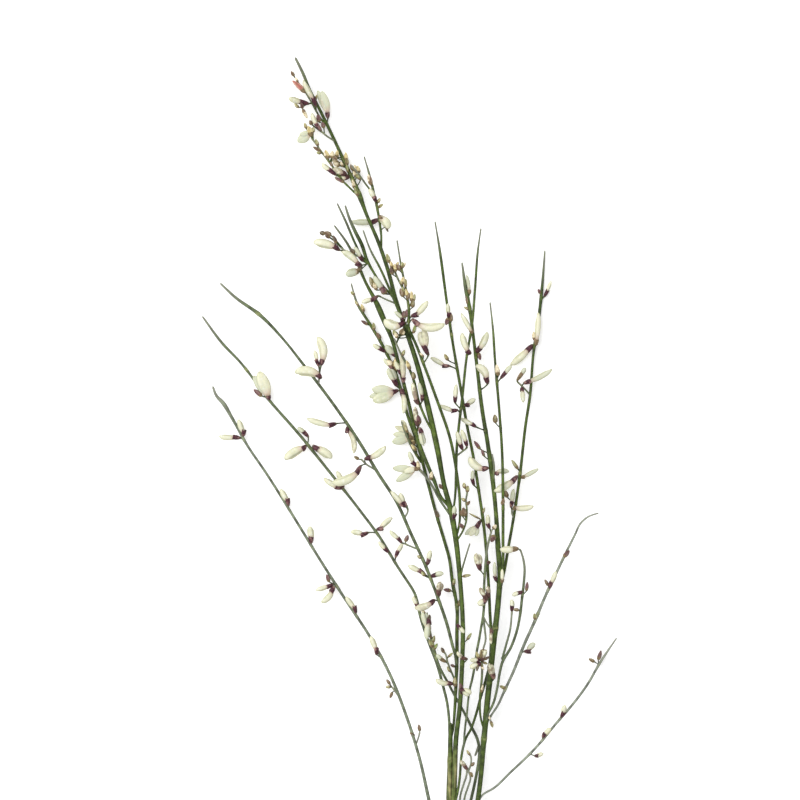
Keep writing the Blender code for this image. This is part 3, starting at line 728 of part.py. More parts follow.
def join_all(base, shells, solver):
    group = bpy.data.collections.new(base.name + "_shells")
    bpy.context.scene.collection.children.link(group)
    for i, (verts, faces) in enumerate(shells):
        group.objects.link(mesh_object("%s_shell_%d" % (base.name, i), verts, faces))
    joint = base.modifiers.new("join", "BOOLEAN")
    joint.operation = "UNION"
    joint.operand_type = "COLLECTION"
    joint.collection = group
    joint.solver = solver
    view = bpy.context.evaluated_depsgraph_get()
    joined = bpy.data.meshes.new_from_object(base.evaluated_get(view))
    base.modifiers.clear()
    base.data = joined
    for shell in list(group.objects):
        bpy.data.objects.remove(shell, do_unlink=True)
    bpy.data.collections.remove(group)


# Where two faces were both split along the line between the same two points, one of them
# is split along its other diagonal
def turn_doubled_edges(work):
    for edge in [edge for edge in work.edges if len(edge.link_faces) == 4]:
        faces = list(edge.link_faces)
        pairs = [(faces[i].normal.dot(faces[j].normal), i, j)
                 for i in range(4) for j in range(i + 1, 4)]
        for flatness, i, j in sorted(pairs, reverse=True):
            one = faces[i]
            two = faces[j]
            c = [corner for corner in one.verts if corner not in edge.verts][0]
            d = [corner for corner in two.verts if corner not in edge.verts][0]
            a, b = edge.verts
            first = [d if corner == b else corner for corner in one.verts]
            second = [d if corner == a else corner for corner in one.verts]
            turns = []
            for p, q, r in (first, second):
                span = (q.co - p.co).cross(r.co - p.co)
                turns.append(span.normalized().dot(one.normal))
            if flatness > 0.9 and min(turns) > 0.7 and work.edges.get((c, d)) is None:
                work.faces.new(first)
                work.faces.new(second)
                work.faces.remove(one)
                work.faces.remove(two)
                break


# Splits the faces into triangles, welds doubled points and keeps the one large body.
# Returns whether the surface is closed.
def tidy(base, flat_enough, split):
    work = bmesh.new()
    work.from_mesh(base.data)
    bmesh.ops.remove_doubles(work, verts=work.verts[:], dist=WELD)
    bmesh.ops.dissolve_limit(work, angle_limit=flat_enough, verts=work.verts[:],
                             edges=work.edges[:])
    bmesh.ops.triangulate(work, faces=work.faces[:], ngon_method=split)
    turn_doubled_edges(work)
    work.verts.index_update()
    groups = []
    seen = set()
    for start in work.verts:
        if start.index in seen:
            continue
        seen.add(start.index)
        body = [start]
        for vert in body:
            for edge in vert.link_edges:
                other = edge.other_vert(vert)
                if other.index not in seen:
                    seen.add(other.index)
                    body.append(other)
        groups.append(body)
    groups.sort(key=len, reverse=True)
    scrap = [vert for body in groups[1:] for vert in body]
    if scrap:
        print(base.name, "bodies dropped:", [len(body) for body in groups[1:]])
        bmesh.ops.delete(work, geom=scrap, context="VERTS")
    bmesh.ops.recalc_face_normals(work, faces=work.faces[:])
    closed = all(len(edge.link_faces) == 2 for edge in work.edges)
    print(base.name, "triangles", len(work.faces), "closed", closed)
    if closed:
        work.to_mesh(base.data)
        base.data.update()
    work.free()
    return closed


def material(name, colour):
    surface = bpy.data.materials.new(name)
    surface.use_nodes = True
    shader = surface.node_tree.nodes["Principled BSDF"]
    shader.inputs["Base Color"].default_value = colour
    shader.inputs["Roughness"].default_value = 0.6
    shader.inputs["Metallic"].default_value = 0.0
    return surface


def build_node(name):
    slant = CUT_SLANT if name == "stem_main" else 0.0
    shells = []
    for line in LINES[name]:
        points = np.array(line)
        thickest = points[:, 3].max()
        sides = STEM_SIDES if thickest > 1.5 else TWIG_SIDES
        sides = FINE_TWIG_SIDES if thickest < 0.55 else sides
        shells.append(tube(points[:, :3], points[:, 3], sides, None, slant))
        slant = 0.0
    for entry in FLOWERS.get(name, []):
        shells += flower(name, *entry)
    for entry in BUDS.get(name, []):
        shells += bud(name, *entry)
    for solver in ("EXACT", "MANIFOLD"):
        base = mesh_object(name, *shells[0])
        bpy.context.scene.collection.objects.link(base)
        join_all(base, shells[1:], solver)
        if any(tidy(base, angle, split) for angle in FLAT_ENOUGH for split in SPLITS):
            break
        bpy.data.objects.remove(base, do_unlink=True)
    else:
        raise RuntimeError(name + " is not closed")
    base.data.materials.clear()
    base.data.materials.append(material("mat_" + name, TWIG_COLOUR))


for old in list(bpy.data.objects):
    bpy.data.objects.remove(old, do_unlink=True)
for name in LINES:
    build_node(name)
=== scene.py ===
import bpy
import math
import numpy as np
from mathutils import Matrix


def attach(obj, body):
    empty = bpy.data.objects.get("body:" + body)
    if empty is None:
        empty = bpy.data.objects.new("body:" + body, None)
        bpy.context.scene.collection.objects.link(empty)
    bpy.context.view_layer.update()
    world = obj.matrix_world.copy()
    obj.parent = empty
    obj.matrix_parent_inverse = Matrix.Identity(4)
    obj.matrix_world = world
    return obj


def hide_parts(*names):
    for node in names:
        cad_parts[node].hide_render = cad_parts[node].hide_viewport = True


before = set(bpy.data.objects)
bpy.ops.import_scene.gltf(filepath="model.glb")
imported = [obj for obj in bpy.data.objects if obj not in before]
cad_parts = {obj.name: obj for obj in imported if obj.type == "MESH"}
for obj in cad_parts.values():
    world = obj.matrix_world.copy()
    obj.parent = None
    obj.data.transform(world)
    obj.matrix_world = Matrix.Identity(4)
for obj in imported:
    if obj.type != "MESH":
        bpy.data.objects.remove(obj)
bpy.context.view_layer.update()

# A cut spray of white broom lying on a pale table, looked down on.
# Tables are in millimetres on the layout sheet: x right, y up the spray, z above the table.
mm = 0.001
sheetCentre = np.array((163.8, 123.6, 0.0))     # the sheet point at the model's origin
chance = np.random.default_rng(20)
print("frame loaded")

# Each node is a list of lines. A line runs from its tip down to its foot as points of
# x, y, z and radius, and the first line of a node carries the others.
twigLines = {
    "stem_main": [
        [(118.0, 297.2, 3.6, 0.5), (120.8, 291.6, 3.0, 0.62), (124.0, 284.0, 2.4, 0.58),
         (128.8, 274.4, 1.6, 0.62), (133.6, 264.4, 1.1, 0.66), (138.0, 254.8, 1.6, 0.7),
         (141.6, 247.0, 2.5, 0.8), (143.6, 242.4, 3.1, 1.0), (146.4, 234.8, 4.2, 0.72),
         (151.2, 223.6, 6.0, 0.75), (155.2, 212.0, 7.6, 0.8), (158.4, 200.0, 8.8, 0.85),
         (162.4, 188.0, 9.6, 0.9), (166.4, 176.0, 10.0, 1.0), (170.8, 159.2, 10.0, 1.15),
         (174.7, 142.0, 10.0, 1.15), (177.9, 125.2, 10.0, 0.95), (180.5, 115.2, 10.0, 1.15),
         (182.4, 104.0, 10.0, 1.1), (184.0, 88.4, 10.0, 0.95), (185.2, 68.0, 10.0, 0.9),
         (184.8, 52.8, 10.0, 0.9), (184.0, 38.0, 10.0, 0.92), (182.4, 24.0, 10.0, 1.0),
         (181.9, 12.0, 9.6, 1.1), (181.5, 0.0, 8.8, 1.25), (180.8, -12.0, 7.2, 1.8),
         (180.4, -26.0, 4.6, 2.0), (180.6, -38.0, 2.7, 2.1), (180.8, -50.0, 2.15, 2.2)],
        [(180.3, 31.0, 8.3, 0.6), (180.2, 26.0, 8.4, 0.9), (180.1, 18.0, 8.6, 1.0),
         (179.9, 10.0, 8.6, 1.1), (179.7, 0.0, 8.2, 1.2), (180.2, -12.0, 7.0, 1.3)],
        [(185.6, 126.4, 12.4, 0.25), (186.8, 124.0, 12.4, 0.35), (186.4, 120.0, 12.2, 0.35),
         (186.8, 115.2, 12.0, 0.35), (186.2, 110.4, 12.0, 0.36), (184.9, 107.2, 11.9, 0.38),
         (182.6, 103.6, 10.2, 0.45)],
        [(188.0, 102.8, 11.4, 0.25), (186.4, 97.6, 11.0, 0.35), (184.8, 92.0, 10.5, 0.38),
         (184.0, 87.0, 10.0, 0.4)],
        [(124.4, 265.2, 4.2, 0.25), (129.6, 258.0, 4.4, 0.35), (133.2, 253.2, 4.2, 0.35),
         (137.6, 247.2, 3.8, 0.38), (140.0, 244.8, 3.4, 0.4), (143.2, 241.8, 3.0, 0.42)],
        [(128.4, 267.6, 3.4, 0.3), (130.8, 265.6, 2.6, 0.35), (134.0, 263.6, 1.3, 0.4)],
        [(151.0, 202.0, 7.2, 0.28), (154.0, 200.4, 7.4, 0.34), (158.4, 198.6, 8.9, 0.4)],
        [(120.4, 277.0, 3.6, 0.26), (122.2, 278.2, 3.4, 0.3), (124.6, 278.8, 2.8, 0.34),
         (126.5, 278.6, 2.0, 0.36)],
        [(118.8, 287.6, 3.4, 0.3), (121.6, 284.0, 3.6, 0.33), (124.2, 279.8, 3.4, 0.34),
         (126.4, 275.8, 2.9, 0.36), (128.6, 272.2, 2.2, 0.38), (130.4, 270.2, 1.6, 0.4)],
    ],
    "stem_right": [
        [(184.8, 215.2, 4.5, 0.36), (186.4, 204.0, 4.8, 0.78), (188.0, 196.0, 5.0, 0.76),
         (189.2, 186.8, 5.3, 0.65), (190.8, 173.6, 5.8, 0.7), (192.8, 156.8, 6.5, 0.8),
         (195.2, 142.0, 7.6, 0.85), (197.1, 128.0, 8.5, 0.95), (198.3, 116.0, 9.2, 0.85),
         (199.2, 102.0, 9.5, 1.1), (200.0, 90.0, 9.5, 1.1), (199.2, 78.0, 9.5, 1.15),
         (197.6, 64.0, 9.5, 1.2), (196.4, 52.8, 9.5, 1.2), (195.2, 41.6, 9.5, 1.2),
         (194.0, 28.4, 9.5, 1.15), (193.2, 20.0, 9.5, 1.1), (192.4, 10.0, 9.2, 1.0),
         (191.2, 0.0, 8.4, 1.0), (189.6, -10.0, 7.2, 1.0), (187.0, -20.0, 5.7, 1.0),
         (183.95, -29.0, 4.38, 0.95)],
        [(196.8, 138.6, 9.6, 0.3), (197.6, 134.0, 9.5, 0.4), (197.2, 127.0, 8.8, 0.5)],
    ],
    "twig_left_1": [
        [(85.0, 165.6, 3.0, 0.42), (86.6, 161.6, 3.0, 0.6), (88.9, 159.2, 3.0, 0.8),
         (92.8, 152.8, 3.0, 0.64), (98.8, 142.0, 3.0, 0.52), (106.4, 130.8, 3.0, 0.52),
         (116.0, 115.6, 3.1, 0.54),
         (126.8, 98.0, 3.3, 0.55), (138.0, 80.4, 3.7, 0.57), (148.0, 65.2, 4.2, 0.58),
         (156.8, 48.4, 5.0, 0.6), (162.4, 34.0, 5.8, 0.62), (168.0, 16.0, 6.6, 0.62),
         (171.6, 0.0, 6.6, 0.7), (174.8, -14.0, 5.6, 0.75), (177.7, -27.0, 4.4, 0.8)],
        [(156.6, 45.4, 5.4, 0.3), (158.0, 43.6, 5.3, 0.35), (159.4, 41.6, 5.3, 0.4)],
        [(168.0, 27.4, 6.4, 0.28), (167.4, 25.0, 6.4, 0.32), (166.2, 21.6, 6.3, 0.36)],
    ],
    "twig_left_2": [
        [(80.8, 193.6, 2.4, 0.38), (88.8, 182.8, 2.5, 0.56), (96.0, 175.2, 2.6, 0.5),
         (107.6, 160.0, 2.8, 0.55), (119.2, 146.8, 3.0, 0.6), (131.2, 132.0, 3.2, 0.58),
         (143.2, 116.8, 3.5, 0.56), (152.1, 104.8, 3.7, 0.56), (159.4, 92.8, 4.0, 0.56),
         (162.6, 88.0, 4.0, 0.56), (165.6, 83.2, 4.0, 0.56), (168.6, 71.6, 4.0, 0.56),
         (172.0, 61.6, 4.0, 0.56), (174.8, 54.4, 4.0, 0.6), (176.8, 47.2, 4.4, 0.58),
         (179.0, 38.0, 6.0, 0.55), (179.7, 31.2, 7.4, 0.55), (179.8, 26.4, 8.05, 0.5)],
    ],
    "twig_left_3": [
        [(88.0, 206.8, 6.0, 0.4), (94.0, 201.2, 6.2, 0.6), (104.0, 194.0, 6.5, 0.72),
         (113.6, 184.0, 6.8, 0.52), (121.2, 174.4, 7.0, 0.58), (133.6, 158.0, 7.5, 0.62),
         (144.0, 142.8, 8.0, 0.64), (151.2, 130.8, 8.3, 0.66), (158.9, 118.8, 8.5, 0.66),
         (164.1, 107.2, 8.5, 0.66), (169.6, 95.2, 8.5, 0.64), (175.2, 80.8, 8.5, 0.62),
         (178.8, 70.4, 8.2, 0.65), (181.2, 61.2, 7.4, 0.6), (182.1, 57.95, 6.4, 0.55)],
        [(128.0, 171.0, 8.0, 0.3), (127.6, 168.4, 7.8, 0.36), (127.4, 165.8, 7.3, 0.42)],
        [(144.2, 136.6, 9.0, 0.3), (146.4, 134.4, 8.9, 0.34), (150.0, 132.2, 8.3, 0.4)],
        [(162.6, 118.4, 9.4, 0.3), (163.2, 115.6, 9.2, 0.34), (161.6, 112.6, 8.5, 0.4)],
        [(160.8, 103.0, 9.3, 0.3), (164.0, 101.6, 9.1, 0.34), (168.0, 100.0, 8.5, 0.4)],
    ],
    "twig_left_low": [
        [(170.8, 75.2, 8.4, 0.2), (172.0, 67.2, 7.8, 0.5), (173.2, 61.6, 7.2, 0.6),
         (174.8, 56.0, 6.8, 0.5), (176.4, 52.0, 6.2, 0.5), (178.8, 47.6, 4.9, 0.5),
         (182.4, 40.8, 3.4, 0.5), (186.4, 33.6, 3.0, 0.55), (188.8, 28.8, 3.0, 0.6),
         (190.8, 24.8, 3.2, 0.6), (191.8, 20.4, 3.8, 0.6), (191.6, 16.0, 4.4, 0.6),
         (190.6, 10.0, 5.0, 0.6), (188.4, 0.0, 5.6, 0.6), (186.6, -7.0, 6.0, 0.55),
         (183.55, -15.05, 6.25, 0.5)],
        [(189.9, 17.4, 4.4, 0.35), (190.8, 19.6, 4.0, 0.5), (191.6, 22.2, 3.5, 0.45)],
    ],
    "twig_mid_1": [
        [(133.6, 230.0, 4.6, 0.36), (138.8, 222.8, 5.0, 0.5), (142.4, 216.0, 5.2, 0.6),
         (146.8, 206.0, 5.5, 0.62), (149.2, 201.6, 5.6, 0.8), (151.4, 197.2, 5.7, 1.15),
         (153.6, 192.0, 5.8, 1.1), (156.5, 185.2, 5.9, 0.85), (159.9, 172.8, 6.0, 0.68),
         (163.2, 160.0, 6.2, 0.72), (167.2, 144.0, 6.6, 0.75), (170.4, 135.6, 7.2, 0.75),
         (173.6, 128.0, 8.2, 0.75), (176.7, 120.8, 9.7, 0.6)],
    ],
    "twig_mid_2": [
        [(140.4, 206.8, 2.2, 0.19), (142.8, 198.8, 2.0, 0.47), (148.0, 190.4, 1.6, 0.56),
         (154.0, 180.0, 1.2, 0.6), (159.2, 168.0, 0.8, 0.65), (162.4, 156.0, 0.566, 0.65),
         (167.2, 142.0, 0.566, 0.65), (171.2, 126.8, 0.566, 0.65), (174.4, 114.8, 0.566, 0.65),
         (178.0, 102.8, 0.566, 0.65), (179.6, 97.2, 1.0, 0.65), (181.2, 86.0, 2.4, 0.7),
         (182.8, 77.6, 3.4, 0.7), (182.8, 66.4, 4.4, 0.74), (182.8, 56.0, 5.0, 0.74),
         (182.4, 46.0, 5.8, 0.65), (181.9, 36.0, 6.8, 0.6), (181.0, 27.4, 7.35, 0.56)],
        [(160.4, 151.6, 3.4, 0.3), (162.0, 147.6, 3.0, 0.5), (164.8, 141.2, 1.8, 0.55),
         (168.6, 135.0, 0.8, 0.55)],
        [(177.2, 60.0, 8.6, 0.25), (178.4, 58.0, 8.6, 0.32), (178.8, 56.0, 8.5, 0.34),
         (180.6, 51.2, 7.0, 0.36), (182.5, 46.6, 5.8, 0.4)],
    ],
    "twig_mid_3": [
        [(138.0, 238.0, 8.0, 0.38), (140.0, 232.0, 8.0, 0.6), (142.4, 226.8, 8.0, 0.72),
         (144.8, 222.0, 8.0, 0.76), (146.8, 216.0, 8.2, 0.66), (149.6, 210.8, 8.4, 0.5),
         (152.8, 206.0, 8.5, 0.5), (156.25, 202.3, 8.6, 0.45)],
        [(134.8, 238.8, 8.2, 0.36), (138.4, 231.2, 8.2, 0.5), (142.0, 222.8, 8.2, 0.46),
         (144.4, 218.0, 8.2, 0.42), (146.9, 214.6, 8.2, 0.45)],
        [(136.0, 221.2, 9.4, 0.25), (140.0, 218.4, 9.0, 0.34), (144.6, 217.4, 8.2, 0.4)],
    ],
    "twig_mid_4": [
        [(145.6, 257.6, 5.0, 0.2), (147.6, 250.8, 5.4, 0.45), (149.6, 242.8, 5.8, 0.5),
         (151.6, 232.8, 6.2, 0.5), (152.55, 224.1, 6.35, 0.45)],
        [(140.4, 254.0, 5.8, 0.25), (143.2, 250.8, 5.8, 0.36), (146.0, 246.8, 5.7, 0.38),
         (149.2, 242.6, 5.8, 0.4)],
    ],
    "twig_mid_5": [
        [(145.2, 228.0, 9.5, 0.17), (148.0, 220.4, 10.0, 0.39), (152.0, 212.8, 10.7, 0.47),
         (156.0, 204.0, 11.3, 0.52), (160.8, 192.8, 11.8, 0.56), (165.6, 184.0, 12.0, 0.56),
         (169.6, 174.0, 12.4, 0.56), (174.8, 160.0, 12.8, 0.6), (180.0, 144.8, 12.8, 0.6),
         (182.8, 130.0, 12.4, 0.6), (184.0, 118.0, 11.2, 0.56), (183.5, 109.05, 10.0, 0.47)],
    ],
    "twig_mid_6": [
        [(158.8, 224.0, 14.0, 0.2), (160.4, 214.0, 14.2, 0.4), (162.4, 204.0, 14.2, 0.45),
         (163.6, 196.0, 14.0, 0.5), (163.8, 187.9, 13.25, 0.5)],
        [(154.4, 218.4, 13.6, 0.25), (157.2, 213.2, 13.8, 0.36), (159.2, 208.4, 14.0, 0.38),
         (162.4, 202.6, 14.2, 0.4)],
    ],
    "twig_mid_7": [
        [(157.6, 184.8, 9.4, 0.2), (160.4, 178.4, 9.6, 0.42), (163.2, 173.6, 9.7, 0.45),
         (165.6, 167.6, 9.9, 0.5), (168.0, 158.0, 10.2, 0.5), (169.7, 153.8, 10.8, 0.5),
         (171.1, 150.8, 11.45, 0.45)],
    ],
    "twig_mid_8": [
        [(166.0, 134.0, 5.4, 0.25), (168.4, 131.6, 5.4, 0.5), (170.8, 128.8, 5.4, 0.5),
         (173.6, 124.4, 6.2, 0.5), (175.6, 120.6, 7.4, 0.48), (178.05, 116.9, 9.15, 0.45)],
    ],
    "twig_right_1": [
        [(174.0, 231.6, 4.4, 0.2), (175.6, 222.0, 4.6, 0.5), (178.8, 198.8, 5.0, 0.55),
         (181.2, 182.4, 5.2, 0.55), (184.4, 164.0, 5.4, 0.6), (186.8, 150.0, 5.6, 0.6),
         (189.6, 136.0, 5.8, 0.6), (191.6, 123.2, 6.0, 0.62), (193.6, 109.2, 6.0, 0.62),
         (194.8, 96.0, 5.8, 0.62), (195.6, 84.0, 5.2, 0.62), (196.0, 75.2, 4.8, 0.62),
         (196.4, 68.0, 4.6, 0.62), (196.4, 60.8, 4.6, 0.62), (195.6, 52.8, 4.8, 0.6),
         (194.0, 46.8, 5.2, 0.58), (192.0, 40.0, 6.0, 0.55), (190.0, 32.8, 7.2, 0.52),
         (188.4, 28.4, 8.2, 0.5), (186.4, 24.8, 9.2, 0.5), (185.2, 20.8, 10.0, 0.5),
         (184.4, 16.0, 10.8, 0.5), (184.0, 10.0, 11.2, 0.5), (183.2, 4.0, 11.2, 0.5),
         (182.15, -0.75, 10.35, 0.45)],
    ],
    "twig_right_2": [
        [(192.4, 228.8, 9.0, 0.2), (191.2, 220.0, 9.2, 0.45), (190.0, 204.0, 9.4, 0.5),
         (188.8, 190.0, 9.6, 0.5), (186.8, 178.0, 9.6, 0.5), (184.8, 160.0, 9.6, 0.55),
         (183.6, 150.0, 9.6, 0.55), (182.8, 142.0, 9.4, 0.55), (182.4, 130.0, 9.2, 0.55),
         (182.2, 123.2, 9.2, 0.5), (181.7, 118.4, 9.5, 0.45)],
        [(187.2, 141.2, 10.6, 0.25), (185.2, 139.6, 10.2, 0.34), (182.6, 137.6, 9.4, 0.4)],
    ],
    "twig_right_3": [
        [(196.8, 108.4, 12.6, 0.25), (195.6, 104.0, 12.2, 0.45), (194.8, 100.4, 12.0, 0.5),
         (194.4, 96.8, 12.0, 0.5), (194.0, 92.0, 12.0, 0.5), (193.6, 84.0, 12.0, 0.52),
         (193.6, 78.0, 12.0, 0.52), (193.2, 73.2, 12.0, 0.55), (192.4, 68.8, 11.9, 0.5),
         (191.6, 64.0, 11.7, 0.5), (190.8, 60.0, 11.5, 0.5), (190.0, 54.4, 11.3, 0.5),
         (188.8, 48.0, 11.1, 0.48), (188.0, 44.8, 11.0, 0.45), (187.2, 39.2, 10.9, 0.42),
         (186.8, 34.8, 10.9, 0.42), (186.2, 30.4, 11.0, 0.42), (185.8, 26.4, 11.0, 0.42),
         (185.5, 22.2, 11.0, 0.4)],
        [(193.2, 60.4, 12.4, 0.35), (194.2, 64.0, 12.2, 0.4), (193.9, 68.0, 12.1, 0.42),
         (193.2, 73.6, 12.0, 0.45)],
        [(196.2, 68.6, 12.9, 0.3), (194.8, 70.6, 12.5, 0.34), (193.1, 73.8, 12.0, 0.4)],
    ],
    "twig_right_4": [
        [(196.0, 199.2, 12.0, 0.19), (197.2, 188.0, 12.0, 0.47), (198.0, 176.0, 12.0, 0.51),
         (199.2, 162.0, 12.0, 0.56), (200.0, 152.0, 12.0, 0.56), (200.8, 140.0, 12.0, 0.56),
         (201.2, 120.8, 12.0, 0.6), (201.2, 104.0, 12.0, 0.6), (201.2, 94.8, 11.9, 0.56),
         (200.35, 87.6, 11.3, 0.47)],
    ],
    "twig_right_5": [
        [(218.0, 220.0, 1.0, 0.3), (216.8, 204.0, 0.75, 0.6), (215.2, 190.0, 1.3, 0.66),
         (213.6, 180.0, 1.8, 0.56), (212.0, 161.2, 2.6, 0.6), (210.4, 150.8, 3.0, 0.6),
         (208.0, 130.0, 4.0, 0.6), (205.2, 111.2, 5.0, 0.6), (203.2, 100.0, 5.6, 0.6),
         (202.0, 92.8, 6.2, 0.6), (200.8, 87.2, 6.9, 0.56), (199.8, 81.9, 7.7, 0.47)],
        [(206.6, 167.6, 4.0, 0.3), (208.8, 165.6, 3.8, 0.35), (212.0, 162.2, 2.6, 0.4)],
        [(204.9, 117.0, 6.0, 0.3), (204.8, 114.8, 5.8, 0.36), (205.6, 112.6, 5.0, 0.4)],
    ],
    "twig_right_6": [
        [(208.0, 100.6, 14.4, 0.3), (209.2, 96.8, 14.0, 0.45), (209.8, 93.2, 13.6, 0.5),
         (209.6, 88.0, 13.2, 0.52), (208.8, 80.8, 12.8, 0.55), (208.0, 74.0, 12.6, 0.55),
         (206.8, 68.0, 12.5, 0.55), (204.4, 61.2, 12.4, 0.55), (200.8, 54.8, 12.4, 0.58),
         (200.0, 51.6, 12.4, 0.55), (198.8, 44.4, 12.2, 0.5), (197.2, 38.4, 11.8, 0.5),
         (195.25, 34.45, 11.1, 0.45)],
        [(204.8, 76.0, 12.6, 0.35), (204.0, 68.0, 12.5, 0.42), (202.4, 62.0, 12.4, 0.45),
         (200.8, 56.2, 12.4, 0.5)],
    ],
    "twig_right_7": [
        [(239.6, 114.8, 3.0, 0.19), (235.2, 113.2, 3.0, 0.38), (232.4, 110.8, 3.1, 0.42),
         (230.0, 106.0, 3.2, 0.45), (226.4, 98.8, 3.4, 0.52), (222.4, 90.4, 3.7, 0.56),
         (218.4, 82.0, 4.2, 0.58), (214.0, 71.6, 5.0, 0.61), (210.0, 62.8, 5.8, 0.61),
         (204.8, 50.0, 7.0, 0.56), (201.6, 43.2, 7.8, 0.52), (199.2, 38.0, 8.4, 0.47),
         (196.2, 33.35, 8.9, 0.42)],
    ],
    "twig_right_8": [
        [(246.8, 64.8, 1.6, 0.2), (243.2, 59.6, 1.8, 0.45), (239.6, 54.0, 2.1, 0.5),
         (235.2, 46.4, 2.5, 0.52), (228.0, 36.8, 3.2, 0.52), (222.4, 30.4, 3.8, 0.52),
         (216.8, 23.6, 4.6, 0.52), (212.0, 18.4, 5.4, 0.52), (204.4, 11.2, 6.8, 0.5),
         (197.6, 4.8, 8.0, 0.45), (192.75, 1.75, 8.54, 0.4)],
    ],
    "twig_low_1": [
        [(192.4, 57.6, 14.6, 0.3), (192.8, 54.0, 14.2, 0.45), (192.8, 50.0, 13.4, 0.48),
         (192.4, 45.2, 12.2, 0.5), (192.0, 40.0, 11.2, 0.48), (192.0, 35.2, 10.3, 0.45),
         (192.7, 31.1, 9.6, 0.42)],
    ],
    "twig_low_2": [
        [(186.8, 12.8, 13.6, 0.4), (186.6, 10.0, 12.9, 0.4), (185.6, 6.8, 11.6, 0.4),
         (184.3, 2.4, 9.8, 0.4), (183.2, -4.4, 8.0, 0.38)],
        [(186.9, 12.9, 13.6, 0.36), (188.2, 9.0, 12.9, 0.38), (187.3, 5.6, 11.6, 0.4),
         (186.1, 2.0, 10.2, 0.4), (185.2, -3.0, 8.9, 0.4), (183.9, -10.0, 7.4, 0.38)],
        [(187.6, 19.4, 14.2, 0.25), (188.4, 17.2, 14.0, 0.3), (188.4, 14.8, 13.8, 0.34),
         (187.4, 11.8, 13.5, 0.38)],
    ],
}

# Pale leaf scars, where a twig is swollen: x, y
twigScars = {
    "stem_main": [(143.6, 242.4), (179.9, 16.0), (141.2, 247.8)],
    "twig_left_2": [(98.4, 172.0)],
    "twig_left_3": [(102.8, 194.4)],
    "stem_right": [(198.4, 68.8), (193.6, 24.6)],
    "twig_left_low": [(172.6, 62.6), (174.0, 57.6)],
    "twig_mid_2": [(182.8, 77.6)],
    "twig_right_1": [(180.6, 186.0)],
    "twig_right_5": [(208.0, 130.4)],
    "twig_right_7": [(202.2, 44.4), (215.0, 74.0)],
}

